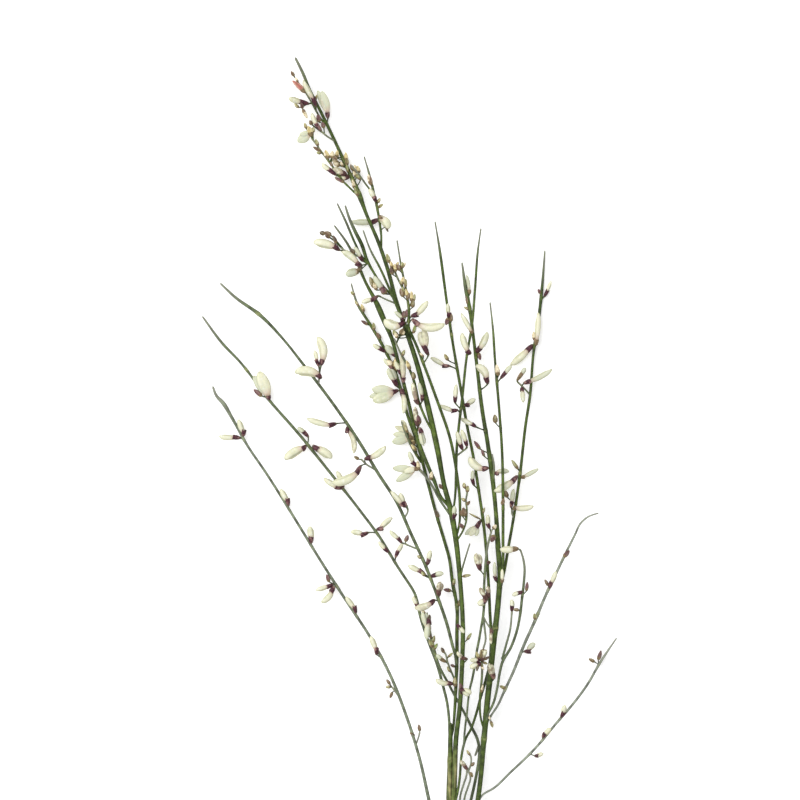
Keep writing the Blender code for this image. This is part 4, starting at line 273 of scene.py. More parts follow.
# Flowers by node: (kind, base x, y, mouth x, y, tip x, y, width, bow, height over its line,
# and a tone where it differs from its kind). Base to mouth is the calyx. With a bow above
# 0 the petals bulge to the left of their heading, and below 0 to the right.
flowers = {
    "stem_main": [
        ("closed", 126.4, 277.4, 125.2, 281.0, 121.4, 288.0, 1.8, 0.4, 2.2, "olive"),
        ("closed", 123.6, 278.5, 119.9, 279.4, 115.6, 281.0, 2.2, 0.3, 1.6, "olive"),
        ("closed", 128.4, 267.6, 126.3, 270.6, 124.9, 274.8, 1.7, 0.4, 0.6, "cream"),
        ("closed", 134.4, 250.0, 131.5, 252.3, 128.9, 254.7, 1.8, 0.3, 1.2, "cream"),
        ("closed", 138.6, 250.2, 136.8, 251.0, 132.8, 252.8, 2.5, 0.2, 1.8, "bicolour"),
        ("closed", 139.8, 249.4, 138.0, 249.0, 134.0, 249.2, 2.3, 0.5, 1.0, "bicolour"),
        ("closed", 151.2, 201.6, 148.4, 199.8, 144.8, 198.8, 1.8, -0.3, 0.4),
        ("closed", 181.2, 112.4, 182.0, 114.4, 182.0, 117.6, 1.6, 0.2, 2.9, "pale"),
        ("closed", 187.0, 56.4, 184.3, 57.0, 182.9, 59.4, 1.5, 0.2, 2.6, "mauve"),
        ("closed", 182.9, 70.4, 183.7, 68.8, 185.5, 66.8, 1.5, 0.2, 2.4),
        ("half", 184.4, 45.0, 185.2, 43.2, 188.2, 42.2, 2.6, 0.4, 3.6),
    ],
    "stem_right": [
        ("closed", 187.9, 202.4, 187.7, 204.0, 186.6, 210.0, 1.2, -0.2, 0.5, "gilt"),
        ("closed", 190.4, 178.8, 192.0, 180.8, 194.8, 187.2, 2.4, -0.6, 0.5),
        ("closed", 195.2, 166.4, 194.4, 169.0, 190.2, 173.6, 2.8, -1.5, 0.6, "cream"),
        ("closed", 190.4, 149.2, 188.8, 150.4, 184.4, 152.8, 1.7, 0.2, 0.0),
        ("closed", 195.4, 132.9, 192.9, 132.4, 188.0, 137.4, 2.9, 1.6, 1.0, "cream"),
        ("closed", 197.4, 132.0, 199.2, 130.4, 203.6, 131.2, 1.8, 0.6, 0.4, "pale"),
        ("half", 197.6, 48.4, 197.0, 50.6, 196.0, 54.8, 2.4, 0.3, 2.5, "mauve"),
        ("closed", 198.4, 87.6, 197.9, 89.6, 197.9, 95.2, 1.4, 0.1, 2.2, "pale"),
    ],
    "twig_left_1": [
        ("closed", 97.2, 145.4, 97.6, 147.8, 95.6, 152.2, 2.0, 0.4, 0.8),
        ("closed", 96.2, 144.8, 93.2, 145.2, 87.6, 145.6, 2.0, 0.4, 0.5),
        ("closed", 115.4, 117.6, 115.0, 120.4, 112.4, 124.4, 2.0, 0.3, 0.6),
        ("closed", 124.4, 102.6, 124.4, 105.2, 124.0, 109.4, 2.4, 0.0, 0.8),
        ("closed", 133.4, 86.2, 130.8, 85.2, 126.4, 83.6, 1.8, -0.2, 0.4),
        ("closed", 133.8, 85.4, 132.4, 83.2, 128.4, 79.2, 2.2, 1.0, 1.2),
        ("closed", 142.4, 74.6, 141.8, 77.4, 138.4, 81.4, 1.8, 0.2, 0.6),
        ("closed", 150.6, 58.0, 150.6, 60.8, 148.4, 65.6, 2.0, 0.2, 0.6),
    ],
    "twig_left_2": [
        ("closed", 122.4, 141.8, 120.9, 140.2, 114.0, 136.0, 3.2, -0.8, 0.8),
        ("closed", 123.4, 145.2, 121.4, 147.3, 119.2, 149.1, 1.7, 0.1, 0.6, "pale"),
        ("closed", 125.0, 141.8, 127.2, 140.2, 132.6, 136.6, 3.1, 0.6, 0.8),
        ("closed", 137.0, 124.6, 134.2, 125.2, 129.6, 128.8, 2.0, 0.3, 0.7),
        ("closed", 137.4, 124.8, 136.6, 127.4, 134.6, 131.4, 1.8, -0.3, 1.2),
        ("closed", 150.6, 108.2, 153.0, 108.6, 157.0, 112.8, 2.0, 0.5, 0.6),
        ("closed", 147.4, 107.0, 144.4, 105.8, 140.4, 107.0, 2.0, -0.5, 0.4),
        ("closed", 155.4, 99.0, 153.8, 100.6, 151.6, 103.4, 1.6, 0.2, 0.5),
        ("closed", 158.2, 97.0, 159.2, 99.6, 161.2, 102.6, 1.6, 0.1, 0.4),
        ("closed", 167.4, 76.4, 166.6, 78.4, 165.4, 81.4, 1.6, 0.2, 0.8),
    ],
    "twig_left_3": [
        ("closed", 128.4, 173.8, 129.0, 176.2, 126.8, 185.2, 3.1, -1.6, 1.2, "cream"),
        ("closed", 127.6, 173.4, 126.4, 176.2, 125.6, 179.8, 1.5, -0.3, 0.7, "cream"),
        ("closed", 128.6, 168.6, 127.0, 170.3, 118.0, 170.8, 3.6, -1.5, 1.0, "cream"),
        ("closed", 134.6, 150.6, 131.6, 149.8, 122.8, 152.8, 2.2, 0.6, 0.4),
        ("closed", 139.0, 149.4, 138.8, 147.0, 141.4, 138.6, 1.8, 1.5, 0.2, "blush"),
        ("closed", 145.8, 136.4, 148.2, 137.0, 154.2, 141.6, 2.4, -0.9, 0.8),
        ("closed", 144.4, 133.8, 142.6, 130.6, 132.6, 127.2, 3.2, 1.6, 0.9),
        ("closed", 162.6, 117.6, 161.2, 119.2, 160.2, 122.8, 2.0, 0.3, 1.0),
        ("closed", 162.4, 117.2, 160.2, 118.6, 156.2, 123.4, 1.8, -0.2, 1.9),
        ("closed", 160.8, 102.8, 159.2, 104.8, 156.0, 107.8, 1.6, 0.2, 0.6),
        ("closed", 170.2, 90.0, 167.6, 92.0, 163.4, 94.0, 2.0, 0.2, 0.8),
        ("closed", 170.8, 94.0, 171.6, 96.2, 172.4, 99.8, 1.8, 0.2, 0.6),
        ("closed", 172.2, 89.4, 174.2, 90.0, 177.4, 90.4, 1.9, 0.4, 0.6, "pale"),
        ("half", 175.6, 81.4, 175.4, 84.0, 176.6, 87.2, 2.4, 0.2, 0.9, "mauve"),
        ("closed", 173.9, 80.2, 172.2, 78.6, 165.8, 77.0, 2.5, 0.9, 1.6, "blush"),
    ],
    "twig_left_low": [
        ("half", 171.8, 67.2, 171.2, 69.6, 169.4, 75.4, 2.8, 0.2, 1.2, "pale"),
        ("closed", 171.4, 73.2, 171.6, 70.4, 170.8, 64.2, 2.2, -0.3, 2.4, "pale"),
    ],
    "twig_mid_1": [
        ("closed", 143.4, 211.6, 142.6, 211.4, 138.2, 210.4, 3.0, 0.1, 0.6, "leafy"),
        ("closed", 160.6, 169.8, 159.6, 172.2, 158.2, 175.4, 1.7, 0.1, 1.2),
        ("closed", 161.3, 166.9, 161.4, 169.0, 160.4, 177.8, 2.0, -0.4, 2.2, "blush"),
        ("closed", 160.6, 164.6, 161.0, 162.2, 161.2, 154.6, 1.9, 0.8, 2.1),
        ("closed", 167.2, 149.2, 166.6, 151.8, 166.2, 157.2, 1.8, 0.2, 1.9, "mauve"),
        ("half", 167.8, 149.0, 168.6, 146.8, 169.8, 141.8, 2.2, -0.3, 2.0, "pale"),
    ],
    "twig_mid_2": [
        ("closed", 154.2, 179.2, 151.7, 180.8, 149.4, 182.5, 1.7, 0.3, 0.8),
        ("closed", 157.4, 171.8, 156.0, 174.0, 153.6, 176.6, 1.7, 0.1, 0.9),
        ("half", 158.8, 165.4, 157.6, 168.2, 155.4, 172.8, 3.0, 0.0, 1.4, "pale"),
        ("closed", 178.4, 55.2, 176.4, 56.4, 174.6, 58.2, 1.5, 0.1, 0.2, "leafy"),
        ("closed", 181.2, 46.4, 179.0, 46.8, 174.4, 48.4, 2.0, 0.8, 2.6),
        ("closed", 158.4, 177.4, 157.4, 178.8, 154.4, 182.0, 2.6, 0.3, 0.8, "pale"),
    ],
    "twig_mid_3": [
        ("closed", 144.6, 213.8, 142.4, 214.8, 136.4, 219.6, 2.4, -0.8, 0.8),
        ("closed", 135.9, 219.8, 133.5, 221.6, 125.4, 223.0, 3.3, -0.6, 0.2, "cream"),
        ("closed", 154.6, 202.4, 152.6, 204.8, 149.6, 209.6, 2.3, 0.1, 1.1, "pale"),
        ("closed", 145.2, 215.4, 143.9, 217.4, 141.6, 221.2, 1.5, -0.3, 0.9, "pale"),
    ],
    "twig_mid_4": [
        ("closed", 150.4, 239.2, 149.6, 241.4, 148.0, 244.6, 1.9, 0.2, 0.9),
        ("closed", 151.6, 232.4, 149.0, 231.2, 140.4, 231.6, 2.2, 0.5, -4.6, "pale"),
        ("closed", 151.8, 232.4, 152.6, 233.4, 155.0, 228.4, 3.2, 1.1, 0.8, "ivory"),
    ],
    "twig_mid_5": [
        ("half", 171.4, 177.8, 169.5, 181.8, 168.6, 188.2, 3.7, -0.3, 0.3, "blush"),
        ("closed", 162.0, 191.2, 159.7, 189.8, 154.0, 192.4, 3.4, 1.7, 0.9, "cream"),
        ("closed", 161.6, 192.4, 160.4, 192.2, 157.8, 195.2, 1.4, -0.2, 0.9, "pale"),
    ],
    "twig_mid_6": [
        ("closed", 164.4, 193.4, 167.0, 194.2, 171.0, 199.6, 2.3, -0.4, 1.5),
        ("closed", 164.8, 192.4, 167.4, 190.0, 177.8, 190.5, 2.9, -1.8, 2.2, "cream"),
    ],
    "twig_mid_7": [
        ("closed", 167.4, 158.2, 166.2, 160.2, 165.2, 167.0, 1.9, 0.2, 1.2, "mauve"),
        ("closed", 168.8, 159.4, 168.9, 162.0, 167.6, 167.0, 1.5, 0.0, 2.8, "pale"),
    ],
    "twig_mid_8": [
        ("closed", 167.0, 133.4, 164.8, 135.2, 163.6, 139.4, 1.8, 0.1, 1.0, "pale"),
    ],
    "twig_right_1": [
        ("closed", 179.2, 193.0, 179.7, 195.0, 179.2, 198.6, 1.6, 0.2, 0.9),
        ("closed", 180.0, 173.6, 177.0, 173.6, 172.2, 176.8, 1.7, -0.3, 0.8),
        ("closed", 185.6, 158.0, 187.6, 158.0, 190.2, 160.2, 1.9, 0.3, 0.6),
        ("closed", 189.6, 125.8, 188.9, 128.4, 189.2, 131.8, 1.5, 0.1, 1.0, "pale"),
    ],
    "twig_right_2": [
        ("closed", 189.0, 186.6, 188.4, 187.8, 184.5, 194.8, 1.7, 0.1, 0.6, "ivory"),
        ("closed", 188.4, 178.4, 186.7, 179.8, 185.0, 186.8, 2.3, 0.6, 1.2, "cream"),
        ("closed", 182.0, 158.8, 182.1, 161.2, 182.6, 166.2, 1.7, 0.1, 0.9),
        ("closed", 183.2, 156.0, 180.6, 155.6, 176.0, 158.0, 1.7, 0.3, 0.6),
        ("closed", 185.2, 140.2, 184.1, 142.4, 182.8, 147.4, 1.9, 0.1, 0.8),
        ("closed", 186.8, 141.4, 186.2, 143.6, 184.6, 148.2, 1.7, 0.0, 1.0),
    ],
    "twig_right_3": [
        ("closed", 195.9, 108.6, 195.0, 110.6, 195.3, 114.0, 1.7, 0.2, 0.3, "olive"),
        ("half", 192.2, 91.8, 191.4, 94.4, 190.8, 98.8, 2.9, 0.1, 0.6, "bicolour"),
        ("closed", 194.8, 79.8, 193.6, 82.0, 192.0, 85.0, 1.9, 0.1, 1.6, "mauve"),
        ("closed", 195.2, 80.6, 195.3, 83.0, 195.1, 85.6, 1.8, 0.0, 0.6, "mauve"),
        ("closed", 194.6, 80.0, 193.2, 79.4, 191.6, 77.8, 2.4, -0.4, 1.4),
        ("closed", 196.3, 68.8, 196.6, 67.0, 196.5, 62.4, 1.2, -0.2, 0.4, "mauve"),
    ],
    "twig_right_4": [
        ("closed", 200.2, 168.6, 202.2, 171.0, 204.4, 174.0, 1.7, -0.1, 0.6, "pale"),
        ("closed", 200.8, 86.9, 200.9, 88.2, 200.9, 92.4, 1.3, 0.0, 1.4, "ivory"),
    ],
    "twig_right_5": [
        ("closed", 214.4, 181.8, 214.7, 184.2, 215.3, 195.0, 2.0, -0.3, 1.4, "ivory"),
        ("closed", 213.2, 182.2, 210.9, 179.8, 204.2, 174.2, 2.7, 0.5, 0.4, "cream"),
        ("closed", 209.4, 166.6, 212.2, 167.6, 220.8, 172.4, 2.0, -0.6, 0.6, "pale"),
        ("closed", 209.0, 165.8, 208.8, 163.6, 209.2, 159.0, 1.7, 0.1, 0.6),
        ("closed", 217.8, 201.4, 219.1, 203.8, 220.6, 207.6, 1.3, 0.1, 0.5, "cream"),
        ("closed", 206.8, 167.8, 208.8, 170.6, 210.4, 172.8, 1.6, 0.1, 0.5, "gilt"),
        ("closed", 208.4, 128.9, 209.8, 129.3, 215.4, 132.6, 1.6, -0.2, 0.5, "gilt"),
        ("closed", 206.9, 129.7, 204.8, 127.2, 197.6, 123.6, 2.9, 0.5, 6.0, "cream"),
        ("closed", 204.4, 117.0, 204.8, 119.4, 205.6, 124.4, 1.7, 0.1, 0.8, "pale"),
        ("closed", 204.9, 116.9, 206.4, 117.0, 213.4, 117.6, 2.1, -0.7, 0.5, "ivory"),
    ],
    "twig_right_6": [
        ("closed", 207.4, 100.6, 205.2, 100.4, 200.0, 100.5, 2.5, 0.4, 0.9, "ivory"),
        ("closed", 209.2, 83.4, 207.2, 82.8, 204.8, 82.0, 1.6, 0.0, 0.5),
        ("closed", 204.8, 75.8, 204.8, 77.6, 204.8, 80.2, 1.7, 0.0, 0.5),
    ],
    "twig_right_7": [
        ("closed", 219.8, 84.6, 220.6, 87.2, 222.6, 91.4, 1.8, 0.0, 0.9),
        ("closed", 209.6, 59.4, 212.2, 59.4, 214.2, 62.4, 2.0, 0.7, 0.4, "pale"),
    ],
    "twig_right_8": [
        ("closed", 224.4, 33.0, 225.6, 35.0, 226.2, 37.8, 1.9, 0.2, 0.7),
        ("closed", 217.0, 24.8, 218.0, 26.6, 220.4, 28.6, 1.9, 0.1, 0.7),
        ("closed", 213.8, 17.6, 215.2, 17.6, 217.4, 18.4, 1.5, 0.1, 0.3),
    ],
    "twig_low_1": [
        ("closed", 192.3, 55.0, 191.0, 54.2, 188.0, 52.8, 2.1, -0.2, 0.6),
        ("closed", 192.2, 56.0, 190.8, 56.2, 188.0, 56.2, 1.7, 0.1, 1.4, "olive"),
        ("closed", 192.7, 55.6, 193.2, 57.2, 194.6, 60.2, 1.7, 0.2, 0.9, "mauve"),
    ],
    "twig_low_2": [
        ("closed", 187.0, 12.6, 185.8, 13.8, 184.2, 16.0, 1.6, 0.1, 0.5, "mauve"),
    ],
}

# Opened flowers by node: (base x, y, mouth x, y, height over its line, tone), then each petal
# blade from its start to its tip (x, y, x, y, width, height over the mouth, tone)
openFlowers = {
    "stem_main": [
        (131.2, 272.8, 130.9, 275.0, 1.4, "blush",
         (130.6, 275.6, 127.0, 283.9, 2.4, 0.1, "pale"),
         (131.2, 275.4, 128.7, 283.6, 3.4, 0.7, "pale"),
         (130.6, 275.4, 128.4, 280.6, 1.5, 0.8, "blush")),
        (124.8, 265.4, 123.9, 266.9, 0.3, "gilt",
         (123.8, 266.8, 119.0, 263.4, 3.8, 0.0, "dull"),
         (124.0, 267.4, 119.8, 266.2, 2.2, 0.5, "pale")),
    ],
    "twig_left_2": [
        (107.7, 160.0, 107.3, 161.6, 0.9, "closed",
         (107.0, 162.0, 101.4, 169.6, 3.6, 0.0, "dull"),
         (107.3, 161.8, 103.6, 171.4, 4.8, 0.6, "half")),
    ],
    "twig_mid_2": [
        (159.3, 163.9, 157.1, 163.1, 1.8, "closed",
         (157.0, 163.0, 147.7, 161.3, 3.2, -0.6, "dull"),
         (157.2, 163.4, 148.8, 164.3, 4.0, 0.4, "pale"),
         (157.2, 162.9, 149.2, 159.6, 4.6, 0.9, "fresh")),
        (165.6, 144.6, 163.4, 145.2, 2.0, "gilt",
         (163.6, 144.9, 156.9, 143.2, 3.6, 0.5, "dull"),
         (163.2, 146.0, 157.3, 146.3, 2.6, 0.0, "pale"),
         (162.8, 147.6, 158.0, 149.3, 2.2, 0.7, "olive"),
         (162.4, 148.2, 160.6, 152.1, 1.8, 0.3, "olive")),
    ],
    "twig_mid_8": [
        (167.6, 132.2, 165.9, 132.6, 0.6, "gilt",
         (165.2, 132.4, 157.1, 132.7, 3.0, 0.0, "dull"),
         (165.2, 131.8, 158.5, 127.5, 3.0, 0.3, "dull"),
         (166.2, 132.9, 161.6, 131.2, 2.4, 1.1, "cream")),
    ],
    "twig_right_1": [
        (192.2, 111.8, 190.6, 109.0, 1.4, "closed",
         (190.8, 109.2, 186.0, 106.2, 2.4, 0.0, "pale"),
         (190.6, 109.2, 190.4, 105.6, 2.2, 0.2, "pale"),
         (190.6, 109.0, 187.8, 105.8, 2.6, 0.6, "half")),
    ],
}

# Buds by node: (foot x, y, tip x, y, radius, height over its line, tone)
buds = {
    "stem_main": [
        (117.7, 289.4, 116.4, 291.6, 0.75, 0.4, "b"), (119.3, 287.2, 118.0, 289.2, 0.55, 0.4, "c"),
        (123.2, 282.4, 116.9, 287.8, 1.15, 0.6, "p"), (119.6, 276.8, 117.8, 278.6, 0.7, 2.2, "o"),
        (121.1, 276.4, 120.4, 279.0, 0.75, 2.4, "m"), (120.8, 276.8, 122.9, 272.7, 0.8, 0.6, "c"),
        (127.7, 270.8, 127.1, 274.4, 1.05, 0.9, "m"), (129.6, 268.6, 128.9, 271.2, 0.9, 0.6, "m"),
        (124.9, 270.0, 123.8, 271.9, 0.9, 0.6, "b"), (124.9, 265.6, 123.2, 269.6, 1.2, 0.9, "g"),
        (125.2, 266.8, 125.3, 269.2, 0.8, 0.5, "o"), (122.6, 268.4, 121.8, 270.9, 0.75, 0.9, "o"),
        (126.3, 280.0, 126.7, 282.2, 0.5, 2.2, "o"), (127.4, 261.4, 126.2, 264.4, 0.75, 0.5, "o"),
        (128.6, 259.4, 125.2, 261.3, 0.75, 0.3, "b"), (128.6, 258.8, 126.6, 259.0, 0.7, 0.6, "o"),
        (131.6, 256.0, 130.1, 260.1, 0.95, 0.4, "g"), (130.9, 256.8, 129.6, 259.2, 0.6, 0.9, "c"),
        (132.7, 256.2, 133.0, 259.7, 0.95, 0.6, "c"), (134.7, 256.6, 134.9, 260.0, 0.85, 0.8, "g"),
        (132.7, 257.6, 135.0, 256.2, 0.75, 1.7, "b"), (134.2, 257.4, 132.9, 258.6, 0.6, 1.9, "c"),
        (136.3, 253.6, 133.2, 255.0, 0.95, 1.1, "c"), (135.8, 255.0, 132.4, 256.2, 0.7, 0.7, "c"),
        (137.4, 253.2, 136.2, 255.4, 0.6, 1.2, "c"), (133.0, 253.4, 132.0, 255.2, 0.6, 0.9, "b"),
        (138.2, 246.8, 133.9, 249.0, 0.7, 0.5, "m"), (138.7, 253.6, 138.8, 256.8, 0.85, 0.9, "b"),
        (138.5, 255.4, 138.3, 259.2, 0.85, 1.2, "g"), (139.2, 250.8, 138.6, 254.2, 0.65, 1.4, "l"),
        (141.4, 251.6, 140.2, 254.3, 0.8, 0.5, "b"), (142.4, 250.6, 141.9, 254.2, 0.8, 0.9, "c"),
        (143.7, 250.4, 142.9, 253.8, 0.85, 0.6, "g"), (144.5, 248.0, 142.2, 250.6, 0.85, 0.7, "o"),
        (142.6, 249.2, 141.2, 251.6, 0.65, 1.2, "c"), (141.9, 244.2, 141.0, 248.2, 0.75, 0.8, "c"),
        (143.4, 241.2, 141.8, 245.2, 0.85, 1.0, "l"), (186.0, 124.4, 185.5, 127.0, 0.8, 0.2, "o"),
        (186.8, 122.8, 187.2, 125.8, 0.85, 0.2, "o"), (186.4, 119.4, 184.6, 120.8, 0.69, 0.3, "o"),
        (186.5, 117.8, 188.0, 119.6, 0.69, 0.2, "b"), (186.2, 113.0, 185.2, 117.0, 1.2, 0.5, "b"),
        (185.0, 113.4, 184.2, 115.8, 0.8, 0.5, "b"), (185.7, 108.6, 183.6, 110.6, 0.85, 1.2, "m"),
        (184.6, 89.4, 188.4, 90.0, 0.69, 0.6, "o"), (186.6, 63.8, 188.6, 66.8, 0.69, 0.4, "o"),
        (184.7, 43.4, 184.0, 46.8, 0.85, 1.2, "m"), (176.9, 124.4, 175.6, 126.4, 0.75, 0.8, "m"),
    ],
    "stem_right": [
        (187.2, 198.0, 186.4, 201.6, 0.6, 0.5, "b"), (187.8, 196.0, 185.6, 197.3, 0.6, 0.3, "o"),
        (191.3, 179.2, 192.2, 176.0, 0.85, 0.9, "m"), (192.3, 140.0, 189.6, 143.6, 0.8, 0.4, "m"),
        (193.8, 137.2, 192.6, 140.2, 0.65, 0.5, "m"), (194.6, 34.4, 196.2, 32.2, 0.55, 1.0, "c"),
    ],
    "twig_left_1": [
        (131.8, 86.8, 130.6, 90.2, 0.86, 0.5, "m"), (156.2, 46.0, 154.6, 48.2, 0.69, 0.2, "b"),
        (156.6, 45.2, 154.2, 45.2, 0.69, 0.6, "o"), (157.0, 43.4, 156.0, 40.6, 0.69, 0.3, "b"),
        (163.8, 27.0, 166.0, 25.8, 0.57, 0.5, "d"), (168.0, 27.2, 167.5, 30.2, 0.75, 0.2, "b"),
    ],
    "twig_left_2": [
        (105.2, 161.2, 101.4, 164.2, 0.98, 0.4, "m"),
    ],
    "twig_left_3": [
        (143.8, 136.2, 141.6, 137.4, 0.75, 0.3, "b"), (162.0, 103.0, 163.2, 106.0, 0.9, 0.9, "m"),
        (170.1, 89.4, 168.6, 91.4, 0.75, 1.6, "o"), (168.6, 96.6, 166.9, 97.8, 0.69, 0.3, "o"),
    ],
    "twig_left_low": [
        (170.2, 74.2, 168.6, 76.2, 0.69, 0.6, "c"), (173.4, 60.6, 171.6, 64.2, 0.8, 0.7, "o"),
        (173.5, 60.0, 175.0, 62.6, 0.7, 0.6, "l"), (172.6, 64.6, 171.0, 67.2, 0.65, 1.8, "d"),
        (171.6, 71.4, 171.9, 74.2, 0.7, 2.9, "d"), (173.0, 62.4, 173.8, 65.8, 0.75, 0.4, "o"),
    ],
    "twig_mid_1": [
        (172.3, 127.6, 172.7, 131.4, 0.85, 0.8, "c"), (168.0, 149.8, 166.8, 154.2, 1.15, 1.9, "m"),
    ],
    "twig_mid_2": [
        (142.0, 202.0, 140.2, 203.4, 0.7, 0.2, "o"), (143.6, 197.4, 141.9, 199.8, 0.6, 0.3, "o"),
        (145.6, 194.8, 144.6, 198.4, 0.85, 0.4, "g"), (147.4, 190.0, 144.4, 191.8, 0.7, 0.4, "m"),
        (149.6, 187.6, 149.4, 191.0, 0.8, 0.5, "o"), (152.4, 184.2, 150.6, 187.0, 0.9, 0.5, "b"),
        (166.2, 141.4, 163.4, 146.6, 0.85, 1.0, "g"), (163.4, 146.4, 161.4, 150.4, 0.65, 1.4, "o"),
        (166.9, 139.4, 164.4, 142.2, 0.75, 1.2, "g"), (165.0, 144.4, 163.0, 147.4, 0.8, 1.6, "c"),
        (175.6, 112.6, 174.0, 116.2, 0.85, 0.5, "d"), (180.8, 83.6, 177.4, 84.1, 0.85, 0.6, "m"),
        (181.4, 85.6, 181.9, 88.6, 0.69, 0.9, "o"), (183.5, 77.2, 184.1, 80.6, 0.69, 0.4, "b"),
        (177.7, 58.7, 176.5, 61.0, 0.75, 0.2, "d"), (179.0, 57.0, 181.2, 58.9, 0.57, 0.4, "o"),
        (182.0, 53.2, 180.2, 54.1, 0.63, 0.6, "m"), (180.2, 51.0, 178.9, 53.4, 0.63, 0.2, "o"),
        (157.6, 173.2, 154.9, 175.9, 1.15, 1.3, "c"), (158.9, 171.0, 158.2, 177.0, 1.2, 1.9, "g"),
        (182.0, 44.8, 182.0, 49.0, 0.95, 0.9, "o"),
    ],
    "twig_mid_3": [
        (132.8, 225.6, 129.8, 227.2, 1.1, 0.8, "b"), (130.2, 226.4, 127.8, 227.0, 1.0, 0.5, "d"),
        (132.2, 224.8, 130.0, 225.8, 0.7, 0.4, "d"), (134.8, 222.2, 133.2, 225.8, 0.8, 0.9, "d"),
        (142.0, 218.4, 140.2, 220.6, 0.85, 0.4, "d"), (144.4, 217.2, 142.0, 220.8, 0.75, 0.3, "c"),
        (143.4, 211.2, 144.6, 214.6, 1.0, -1.4, "d"), (150.2, 204.2, 147.9, 209.2, 1.1, 0.6, "b"),
        (150.8, 203.6, 149.4, 206.8, 0.8, 1.3, "c"), (154.5, 202.0, 152.3, 205.2, 1.3, 1.4, "m"),
    ],
    "twig_mid_4": [
        (148.4, 245.6, 147.2, 250.4, 0.85, 0.5, "c"), (148.6, 245.4, 148.1, 249.6, 0.75, 1.1, "b"),
        (151.0, 238.7, 152.1, 240.8, 0.69, 0.4, "o"), (151.2, 236.8, 153.2, 238.4, 0.69, 0.4, "o"),
        (154.2, 229.6, 155.3, 227.2, 0.5, 1.0, "d"),
    ],
    "twig_mid_5": [
        (169.6, 177.2, 167.8, 178.9, 0.5, 0.3, "c"), (162.2, 192.6, 161.4, 195.6, 1.2, 1.0, "m"),
        (163.4, 192.8, 162.6, 196.2, 1.0, 1.4, "m"), (158.4, 185.6, 157.4, 188.0, 0.9, 0.3, "o"),
        (159.2, 184.6, 157.9, 186.8, 0.8, 0.9, "c"), (159.8, 186.2, 161.5, 188.6, 0.9, 0.6, "b"),
        (160.6, 186.0, 161.9, 187.4, 0.7, 0.9, "c"),
    ],
    "twig_mid_6": [
        (155.8, 214.4, 154.8, 218.4, 0.9, 0.35, "o"), (156.9, 212.6, 156.2, 215.4, 0.75, 0.8, "g"),
        (157.2, 209.8, 156.2, 213.0, 0.85, 0.6, "d"), (158.4, 210.8, 157.8, 214.4, 0.75, 0.9, "g"),
        (158.4, 213.2, 159.4, 215.2, 0.6, 0.4, "g"), (160.0, 211.4, 159.0, 214.2, 1.0, 0.4, "b"),
        (160.7, 212.4, 161.1, 215.2, 0.7, 0.8, "o"), (160.9, 212.6, 162.2, 215.0, 0.6, 0.3, "c"),
        (165.2, 186.2, 166.4, 190.4, 0.75, 0.6, "l"),
        (160.7, 205.8, 161.4, 209.2, 0.9, 0.6, "g"), (161.2, 206.0, 159.8, 207.6, 0.6, 0.9, "o"),
        (162.2, 204.6, 162.3, 208.4, 0.7, 0.3, "o"), (161.6, 200.8, 160.1, 204.6, 1.05, 0.5, "b"),
        (161.8, 202.4, 160.9, 205.2, 0.6, 1.0, "o"), (163.4, 200.4, 162.2, 204.4, 0.9, 0.7, "g"),
        (162.8, 199.8, 163.8, 202.8, 0.65, 1.1, "b"), (165.0, 196.6, 165.2, 200.2, 0.95, 0.5, "b"),
        (164.7, 198.8, 164.6, 203.4, 0.9, 0.8, "g"), (165.4, 199.0, 166.0, 202.4, 0.6, 0.4, "o"),
    ],
    "twig_mid_7": [
        (159.4, 184.8, 157.6, 187.8, 0.85, 0.5, "b"), (159.8, 185.0, 161.2, 188.6, 0.8, 0.6, "c"),
        (160.8, 177.4, 161.9, 180.0, 0.75, 0.6, "o"), (165.7, 168.0, 165.2, 171.2, 0.95, 1.5, "b"),
        (164.2, 171.6, 162.6, 175.8, 0.9, 0.8, "g"),
    ],
    "twig_right_1": [
        (179.4, 175.6, 177.8, 178.4, 0.8, 0.6, "o"), (179.4, 193.2, 178.4, 190.0, 0.95, 0.5, "m"),
        (180.5, 191.0, 180.4, 194.8, 0.8, 0.7, "b"), (193.0, 114.4, 193.9, 117.0, 0.57, 0.4, "o"),
        (192.4, 112.2, 187.6, 114.7, 0.46, 0.5, "o"), (196.4, 95.2, 194.1, 94.7, 0.75, 1.25, "m"),
    ],
    "twig_right_3": [
        (197.0, 108.2, 198.5, 110.1, 0.86, 0.4, "c"), (197.9, 106.4, 196.5, 103.2, 1.15, 0.8, "m"),
        (193.4, 60.8, 193.0, 58.4, 0.63, 0.2, "o"),
    ],
    "twig_right_4": [
        (199.4, 169.0, 198.6, 174.2, 1.0, 0.7, "c"), (198.2, 150.4, 197.9, 154.2, 1.05, 0.6, "b"),
        (200.8, 117.6, 201.5, 120.8, 0.85, 0.3, "b"),
    ],
    "twig_right_5": [
        (216.4, 202.4, 215.2, 204.4, 0.7, 0.4, "m"), (207.6, 131.8, 204.7, 136.1, 0.75, 0.6, "o"),
        (203.2, 120.6, 201.6, 124.2, 1.0, 0.6, "b"), (213.9, 183.4, 213.4, 187.4, 0.8, 1.4, "c"),
    ],
    "twig_right_6": [
        (210.5, 83.2, 210.9, 87.3, 0.75, 0.3, "m"), (207.8, 76.0, 205.2, 76.3, 0.75, 0.9, "b"),
    ],
    "twig_right_7": [
        (225.2, 96.8, 227.8, 99.8, 0.98, 0.5, "m"), (219.5, 85.4, 217.9, 88.2, 0.69, 0.6, "b"),
        (214.3, 71.8, 213.7, 74.6, 0.86, 0.6, "o"), (202.6, 44.4, 199.8, 45.7, 0.75, 0.3, "o"),
        (196.2, 31.9, 197.1, 29.0, 0.69, 0.4, "o"),
    ],
    "twig_right_8": [
        (239.2, 55.4, 240.5, 59.8, 0.86, 0.4, "m"), (238.2, 55.0, 235.5, 56.5, 0.75, 0.2, "b"),
    ],
    "twig_low_1": [
